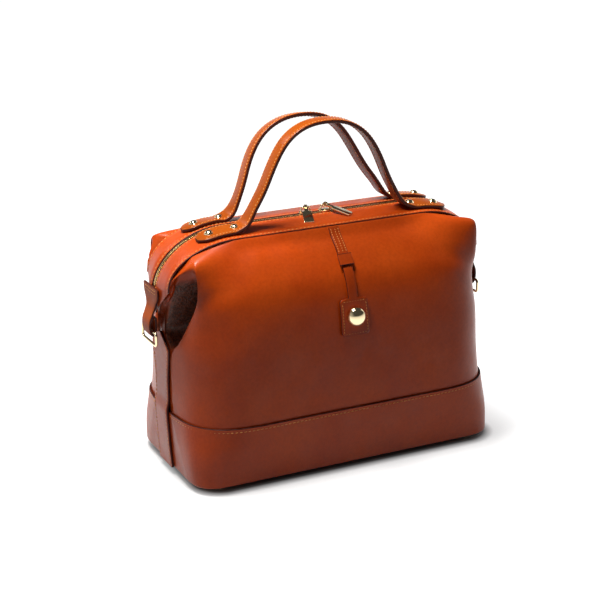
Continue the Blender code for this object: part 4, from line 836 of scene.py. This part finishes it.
def handle_path(side, sign):
    """One handle's back line with its directions and half widths, tip to tip."""
    lean = -REAR_LEAN if sign > 0 else 0
    half_line = []
    for x in (120.5, 114, 106, 98, 91, 86):
        point, normal = top_under(x, HANDLE_Y)
        half_line.append(flipped(point + normal * (0.3 + HANDLE_THICK / 2), side=sign))
    half_line += [vec(-x, sign * HANDLE_Y, z) for x, z in LIFT]
    for x, z in ARCH:
        rise = ARCH_RISE[side] * z
        half_line.append(vec(-x, sign * HANDLE_Y - rise * sin(lean),
                             HINGE_Z + rise * cos(lean)))
    line = np.concatenate([half_line, flipped(half_line[-2::-1], 1)])
    rise = np.clip((line[:, 2] - HINGE_Z) / ARCH_RISE[side], 0, 1)
    line[:, 0] += ARCH_SWAY[side] * np.sin(pi * rise)
    line = catmull(line, 8)
    run = length_along(line)
    line = sampled(np.linspace(0, run[-1], int(round(run[-1] / HANDLE_STEP)) + 1), run, line)
    line = blend(line, blurred(line, 3.6, 0), smooth((92 - abs(line[:, :1])) / 12))
    along = tangents(line)
    tilt = lean * smooth((line[:, 2] - 222) / 22)
    across = np.stack([0 * tilt, np.cos(tilt), np.sin(tilt)], axis=1)
    for k, p in enumerate(line):
        if abs(p[0]) > 84:
            _, n = top_under(p[0], HANDLE_Y)
            flat = unit(np.cross(flipped(n, np.sign(p[0]), sign), along[k]))
            share = smooth((abs(p[0]) - 84) / 6)
            across[k] = unit(blend(across[k], flat * np.sign(flat[1]), share))
    normal = units(np.cross(along, across))
    edge = np.minimum(*(np.linalg.norm(line - tip, axis=1) for tip in (line[0], line[-1])))
    half = blend(ANCHOR_HALF, ARCH_HALF, smooth((line[:, 2] - 216) / 20))
    half *= np.sqrt(np.maximum(1 - (1 - np.minimum(edge / half, 1)) ** 2, 0.1))
    return line - normal * HANDLE_THICK / 2, across, normal, half


def make_handles():
    """Each handle as one strap with its anchors. It bends where the anchors lift off."""
    for side, sign in SIDES:
        line, across, normal, half = handle_path(side, sign)
        piece = Piece(side + "_handle_leather")
        piece.strap(line, across, normal, half, HANDLE_THICK, (0, 1, 3), 0.4, 1)
        keep = half > 7.5
        risen = keep & (line[:, 2] > 224)
        for s in (-1, 1):
            inside = line + across * (s * (half - STITCH_INSET))[:, None]
            outside = inside + normal * 3.45
            piece.stitches(outside[keep], normal[keep], **HANDLE_STITCH)
            piece.stitches(inside[risen], -normal[risen], **HANDLE_STITCH)
        made = piece.build(HANDLES, 50, None, *(f"{side}_handle{node}" for node in (
            "", "_left_anchor", "_right_anchor")))
        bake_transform(made)


def make_rivets():
    """Rivets at two distances from the middle, with caps, shanks and inner washers."""
    profile = [(0.05, -3), (3.4, -3), (3.4, -2.4), (1.4, -2.3), (1.4, 3.4), (3.7, 3.55),
               (4.05, 3.75), (4.1, 4), (3.9, 4.15)]
    profile += [(3.8 * cos(a), 4.1 + 2.3 * sin(a))
                for a in np.linspace(0.08, pi / 2 - 0.02, 12)]
    for which, x in (("inner", 86), ("outer", 109.5)):
        point, normal = top_under(x, HANDLE_Y)
        for end, x_sign in ENDS:
            for side, y_sign in SIDES:
                piece = Piece(f"{side}_{end}_{which}_rivet_metal")
                piece.turned(profile, flipped(point, x_sign, y_sign),
                             flipped(normal, x_sign, y_sign), 28)
                piece.build(GOLDS, 35, "bag", f"{side}_{end}_{which}_rivet")


# Ends: strips, tabs and rings

STRIP_THICK = 2.2
# A sheet in the hollow behind a tab, which paints the shade there: the heights and half widths
# of its rows, how far out its edges and its middle lie, and its share of the pleats' painted shade
HOLLOW_ROWS, HOLLOW_OUT, HOLLOW_PAINTED_SHADE = ((121, 4), (131, 7), (164, 11)), (149.4, 141, 149.4), 0.8
# A tab: where it starts, how far its loop reaches and its lowest and highest point. Then
# its middle line: how far out, how high and how narrow, in shares
TAB_BASE, TAB_REACH, TAB_LOW, TAB_HIGH = 156.8, 5.6, 130.5, 174
TAB_LINE = [(0, 1, 0), (0, 0.9, 0), (0, 0.8, 0.15), (0.04, 0.7, 0.55), (0.16, 0.58, 0.9),
            (0.55, 0.44, 1), (0.93, 0.31, 1), (1, 0.17, 1), (0.78, 0.045, 1), (0.4, 0.02, 1),
            (0.1, 0.1, 1), (0, 0.24, 1), (0, 0.37, 1)]
TAB_WIDE, TAB_NARROW = 16.5, 9
WIRE = 1.25


def strip_out(z):
    """How far out an end strip's back lies at a height, over the band or the panel."""
    covered = 1 - smooth((z - 60.3) / 12)
    foot = np.interp(z, (8, 29, 30, 59), (0.979, 0.99, 0.99, 1))
    return HALF_LENGTH * foot + 2.1 * covered + 0.3


def make_strip(end, sign):
    """A strip up the panels' seam, widest at 119 mm and pointed at 131 mm under the tab."""
    strip = Piece(end + "_strip_leather")
    zs = np.concatenate([np.linspace(6.9, 119, 60), np.linspace(120, 131, 12)])
    line = np.array([vec(sign * strip_out(z), 0, z) for z in zs])
    widths = np.where(zs > 119, blend(19, 1.5, (zs - 119) / 12),
                      blend(15, 19, smooth((zs - 87) / 32)))
    normal = vec(sign, 0, 0)
    strip.strap(line, vec(0, 1, 0), normal, widths, STRIP_THICK, radius=0.6)
    # A sheet in the hollow behind the tab, painted with the pleats' shade by its mark
    strip.grid([[vec(sign * x, side * wide, z) for side, x in zip((-1, 0, 1), HOLLOW_OUT)]
                for z, wide in HOLLOW_ROWS], 0, np.full((3, 3), HOLLOW_PAINTED_SHADE))
    sewn = widths > 10
    for s in (-1, 1):
        seam = line + normal * STRIP_THICK + vec(0, s, 0) * (widths - 2.4)[:, None]
        strip.stitches(seam[sewn], normal, trim=2)
    strip.build(LEATHERS, 50, "bag", end + "_end_strip")


def make_tab(end, sign):
    """A tab sewn over the strip's head, narrowing into the loop that holds the ring."""
    tab = Piece(end + "_tab_leather")
    path = catmull([(TAB_BASE + 1 + TAB_REACH * out, blend(TAB_LOW, TAB_HIGH, up), narrow)
                    for out, up, narrow in TAB_LINE], 6)
    line = np.array([vec(sign * x, 0, z) for x, z, _ in path])
    normal = units(np.cross(vec(0, -sign, 0), tangents(line)))
    half = blend(TAB_WIDE, TAB_NARROW, np.clip(path[:, 2], 0, 1))
    tab.strap(line - normal, vec(0, 1, 0), normal, half, 2, crown=0.2, radius=0.6)
    for drop in (2.2, 5):
        row = np.array([vec(sign * (TAB_BASE + 2.15), y, TAB_HIGH - drop)
                        for y in np.linspace(-13.5, 13.5, 12)])
        tab.stitches(row, vec(sign, 0, 0), 3.4, 2.4, trim=0)
    tab.build(TABS, 50, "bag", end + "_zip_tab")


def make_ring(end):
    """A wire ring with rounded corners, in its node's own box."""
    ring = Piece(end + "_ring_metal")
    low, high = (vec(*corner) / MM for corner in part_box(end + "_ring"))
    middle = (low + high) / 2
    half_z = (high[2] - low[2]) / 2 - WIRE
    loop = [vec(middle[0], y, middle[2] + z) for y, z in rounded(high[1] - WIRE, half_z, 3, 6)]
    dense = []
    for a, b in zip(loop, loop[1:] + loop[:1]):
        steps = max(int(np.linalg.norm(b - a) / 1.5), 1)
        dense += [blend(a, b, k / steps) for k in range(steps)]
    ring.tube(dense, WIRE, sides=16, closed=True)
    ring.build(GOLDS, 50, end + "_ring", end + "_ring")


# Front fastening

# Heights and half widths of the strap, the keeper and the tab
STRAP_LOW, STRAP_HIGH, STRAP_HALF = 185.7, 213.2, 5
KEEPER_LOW, KEEPER_HIGH, KEEPER_HALF = 185.6, 193.4, 6.75
CATCH_LOW, CATCH_HIGH = 127.8, 183.6
CATCH_OUTLINE = ((CATCH_LOW, 11.6), (129.8, 13.4), (157.4, 13.4), (159.4, 11.6), (159.6, 4.5),
                 (CATCH_HIGH, 4.5))
CATCH_STITCH = {"pitch": 2.6, "length": 1.8, "radius": 0.32}
# The dome: its middle's height, its seat, its rise over the rim and its radius
DOME_Z, DOME_SEAT, DOME_RISE, DOME_RADIUS = 144.5, 3.5, 7.4, 8.7


def front_line(low, high, lift, count=24):
    """Points and normals on the front's middle line between two heights, lifted off."""
    middle = PANEL.shape[1] // 2
    line = PANEL[:, middle]
    zs = np.linspace(low, high, count)
    normal = units(sampled(zs, line[:, 2], PANEL_NORMAL[:, middle]))
    return sampled(zs, line[:, 2], line) + normal * lift, normal


def make_front():
    """The strap, its keeper, the tab with its stitches and the dome."""
    across = vec(1, 0, 0)
    strap = Piece("front_strap_leather")
    points, normals = front_line(STRAP_LOW, STRAP_HIGH, 0.3)
    strap.strap(points, across, normals, STRAP_HALF, 1.8, crown=0.15)
    clear = points[:, 2] > KEEPER_HIGH + 0.8
    face = (points + normals * 1.9)[clear]
    for x in (-3.5, 0.3, 3.5):
        strap.stitches(face + across * x, normals[clear], 2.4, 1.6, 0.36, 0.6)
    strap.build(FRONTS, 50, "bag", "front_strap")

    keeper = Piece("keeper_leather")
    points, normals = front_line(KEEPER_LOW, KEEPER_HIGH, 2.4, 10)
    keeper.strap(points, across, normals, KEEPER_HALF, 1.4, crown=0.1)
    # Dark rolls along the keeper's top and bottom: partly its edge paint, partly painted shade on
    # its bevels
    for k in (0, -1):
        rim = points[k] + normals[k] * 1.25
        keeper.tube([rim + across * x for x in np.linspace(-6.6, 6.6, 12)], 0.36, 1, 8)
    keeper.build(FRONTS, 50, "bag", "strap_keeper")

    catch = Piece("front_catch_leather")
    points, normals = front_line(CATCH_LOW, CATCH_HIGH, 1.2, 60)
    widths = np.interp(np.linspace(CATCH_LOW, CATCH_HIGH, 60), *zip(*CATCH_OUTLINE))
    catch.strap(points, across, normals, widths, 2, crown=0.25)
    face = points + normals * 2.05
    wide = (points[:, 2] > 129.8) & (points[:, 2] < 157.4)
    for x in (-11.4, 11.4):
        catch.stitches(face[wide] + across * x, normals[wide], trim=0.5, **CATCH_STITCH)
    for z in (130, 157.2):
        k = int(np.argmin(abs(points[:, 2] - z)))
        row = [face[k] + across * x for x in np.linspace(-10.4, 10.4, 9)]
        catch.stitches(row, normals[k], trim=0, **CATCH_STITCH)
    catch.build(FRONTS, 50, "front_tab", "front_catch")

    dome = Piece("dome_metal")
    (centre,), (normal,) = front_line(DOME_Z, DOME_Z, 0, 1)
    profile = [(0.05, DOME_SEAT), (8.2, DOME_SEAT)]
    profile += [(DOME_RADIUS * sin(a), DOME_SEAT + 1.4 + DOME_RISE * cos(a))
                for a in np.linspace(1.75, 0.01, 40)]
    dome.turned(profile, centre, normal, 64)
    dome.build(GOLDS, 60, "front_tab", "catch_dome")


# Foot, lining and the nodes that stay

def make_feet():
    """Five feet, each with its shank and inner washer."""
    places = {"middle_foot": (0, 0)}
    for end, i in ENDS:
        for side, j in SIDES:
            places[f"{side}_{end}_foot"] = (i * 123.5, j * 52.9)
    profile = [(0.05, 11.8), (4, 11.8), (4, 11), (1.8, 11), (1.8, 5.7), (6.3, 5.7), (6.5, 5.4),
               (6.5, 4.9)]
    profile += [(3 + 3.5 * cos(a), 4.9 * (1 - sin(a)))
                for a in np.linspace(0.1, pi / 2, 9)] + [(0.05, 0)]
    for name, (x, y) in places.items():
        piece = Piece(name + "_metal")
        piece.turned(profile, vec(x, y, 0), vec(0, 0, 1), 32)
        piece.build(GOLDS, 35, "bag", name)


def make_lining():
    """A thin cloth bag inside the panels. Shares are of length, depth and height."""
    shares = [(0.9, 0.78, 0), (0.93, 0.86, 0.25), (0.93, 0.88, 0.48), (0.76, 0.82, 0.66),
              (0.7, 0.68, 0.86), (0.66, 0.42, 1)]
    rows = []
    for x, y, z in catmull(shares, 8):
        half_x, half_y = HALF_LENGTH * x - 6.2, HALF_DEPTH * y - 6.2
        rows.append([vec(px, py, 12.2 + 192.3 * z)
                     for px, py in rounded(half_x, half_y, half_y * 0.32, 8)])
    rows = np.array(rows)
    rows *= 1 - np.sin(np.arange(rows.shape[1]) * 1.7)[None, :, None] * 0.0007
    inner = rows * vec(0.994, 0.99, 1) + vec(0, 0, 0.7)
    inner[-1, :, 2] = rows[-1, :, 2]
    piece = Piece("lining_bag")
    piece.grid(np.concatenate([rows, inner[::-1]]), closed=True, caps=0)
    piece.build(CLOTH, 60, "bag", "lining")


def finish_nodes():
    """Materials for the nodes that are shown as they are."""
    for name, material in (("sole", SOLE), ("stiffener_board", BOARD), ("press_stud", GOLD)):
        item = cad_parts[name]
        item.data.materials.clear()
        item.data.materials.append(material)


# Floor, light and camera

FLOOR_HALF = 12
# The floor's painted shadow: its rounded box's middle and half size in x and y, and where it fades
# out
SHADE_X, SHADE_Y, SHADE_FADE = (0.004, 0.12), (0.001, 0.045), (0.022, 0.07)
SHADE_STOPS = [(0, (0, 0, 0, 1)), (0.08, (0.03, 0.03, 0.03, 1)), (0.3, (0.68, 0.68, 0.68, 1)),
               (1, (1, 1, 1, 1))]
# The room's light, and the glow that gloss sees at the left
DIM, LEFT_GLOW = 0.06, 0.4
# Each lamp's name, place, aim, size, power and colour
LAMPS = (("key", (-0.22, 0.045, 0.95), (0, 0, 0.15), (0.34, 0.22), 11, (1, 0.98, 0.95)),
         ("back", (-0.56, 1.13, 1.03), (0, 0, 0.2), (0.4, 0.3), 1.6, (1, 1, 1)),
         ("right", (1.3, 0.3, 0.6), (0.1, 0, 0.12), (0.5, 0.8), 2, (1, 1, 1)))
AZIMUTH, ELEVATION, ROLL = (radians(angle) for angle in (-26.07, 19.57, -0.36))
AIM, DISTANCE = (0, 0, 0.12), 1.4638
SENSOR, FOCAL_PIXELS, PHOTO_PIXELS, SHIFT = 36, 1605.4, 600, (-0.0269, 0.0277)


def emptied(tree, output):
    """A node tree with nothing but an output of a kind."""
    tree.nodes.clear()
    return node(tree, output)


def make_floor():
    """A wide floor. The camera and gloss see it white, with a painted shadow that darkens it
    close round the bag, and with the lamps' shadows on it; it throws little light back on the bag."""
    mesh = bpy.data.meshes.new("floor")
    low, high = -FLOOR_HALF, FLOOR_HALF
    corners = [(low, low, 0), (high, low, 0), (high, high, 0), (low, high, 0)]
    mesh.from_pydata(corners, [], [(0, 1, 2, 3)])
    floor = added("floor", mesh)
    made, tree, _ = shader("floor")
    out = emptied(tree, "OutputMaterial")
    parts = node(tree, "SeparateXYZ", {0: place(tree)}).outputs
    squares = []
    for axis, (centre, half) in (("X", SHADE_X), ("Y", SHADE_Y)):
        off = calculated(tree, "ABSOLUTE", calculated(tree, "SUBTRACT", parts[axis], centre))
        off = highest(tree, calculated(tree, "SUBTRACT", off, half), 0)
        squares.append(calculated(tree, "MULTIPLY", off, off))
    far = calculated(tree, "SQRT", calculated(tree, "ADD", *squares))
    # The glow dims close round the bag: a painted shadow on the floor
    fade = ramp(tree, mapped(tree, far, *SHADE_FADE, 0, 1), SHADE_STOPS)
    glow = node(tree, "Emission", {"Color": (1, 1, 1, 1), "Strength": fade}).outputs[0]
    matte = node(tree, "BsdfDiffuse", {"Color": (0.45, 0.45, 0.45, 1)}).outputs[0]
    bounce = node(tree, "BsdfDiffuse", {"Color": (0.28, 0.265, 0.265, 1)}).outputs[0]
    rays = node(tree, "LightPath").outputs
    seen = highest(tree, rays["Is Camera Ray"], rays["Is Glossy Ray"], rays["Is Transmission Ray"])
    shown = node(tree, "AddShader", {0: matte, 1: glow}).outputs[0]
    wired(tree, out, {
        "Surface": node(tree, "MixShader", {0: seen, 1: bounce, 2: shown}).outputs[0]})
    mesh.materials.append(made)


def make_world():
    """A dim room that is white for the camera. Gloss sees it bright low down, all round, and
    also bright at the left."""
    world = bpy.data.worlds.new("studio")
    bpy.context.scene.world = world
    world.use_nodes = True
    tree = world.node_tree
    out = emptied(tree, "OutputWorld")
    way = node(tree, "TexCoord").outputs["Generated"]
    parts = node(tree, "SeparateXYZ", {0: way}).outputs
    horizon = mapped(tree, parts["Z"], 0.06, 0.26, 1, DIM)
    left = mapped(tree, parts["X"], -0.9, -0.5, LEFT_GLOW, 0)
    rays = node(tree, "LightPath").outputs
    gloss = calculated(tree, "MULTIPLY", rays["Is Glossy Ray"], highest(tree, horizon, left))
    strength = highest(tree, gloss, rays["Is Camera Ray"], rays["Is Transmission Ray"], DIM)
    back = node(tree, "Background", {"Color": (1, 1, 1, 1), "Strength": strength})
    wired(tree, out, {"Surface": back.outputs[0]})


def make_lamps():
    """Area lamps, each turned towards its aim."""
    for name, spot, aim, size, power, tint in LAMPS:
        lamp = bpy.data.lights.new(name, "AREA")
        lamp.shape, lamp.size, lamp.size_y = "RECTANGLE", *size
        lamp.energy, lamp.color = power, tint
        item = added(name, lamp)
        item.location = spot
        item.rotation_euler = (Vector(aim) - Vector(spot)).to_track_quat("-Z", "Y").to_euler()


def make_camera():
    """The camera at the photograph's place, rolled a little."""
    spot = Matrix.Translation(AIM)
    for angle, axis in ((AZIMUTH, "Z"), (pi / 2 - ELEVATION, "X"), (ROLL, "Z")):
        spot = spot @ Matrix.Rotation(angle, 4, axis)
    lens = bpy.data.cameras.new("camera")
    camera = added("camera", lens)
    camera.matrix_world = spot @ Matrix.Translation((0, 0, DISTANCE))
    lens.sensor_width = SENSOR
    lens.lens = FOCAL_PIXELS / PHOTO_PIXELS * SENSOR
    lens.shift_x, lens.shift_y = SHIFT
    bpy.context.scene.camera = camera
    bpy.context.scene.view_settings.view_transform = "Standard"


make_body()
make_bands()
make_top()
make_zip()
make_sliders()
make_handles()
make_rivets()
for end, sign in ENDS:
    make_strip(end, sign)
    make_tab(end, sign)
    make_ring(end)
make_front()
make_feet()
make_lining()
finish_nodes()
make_floor()
make_world()
make_lamps()
make_camera()

bpy.context.view_layer.update()
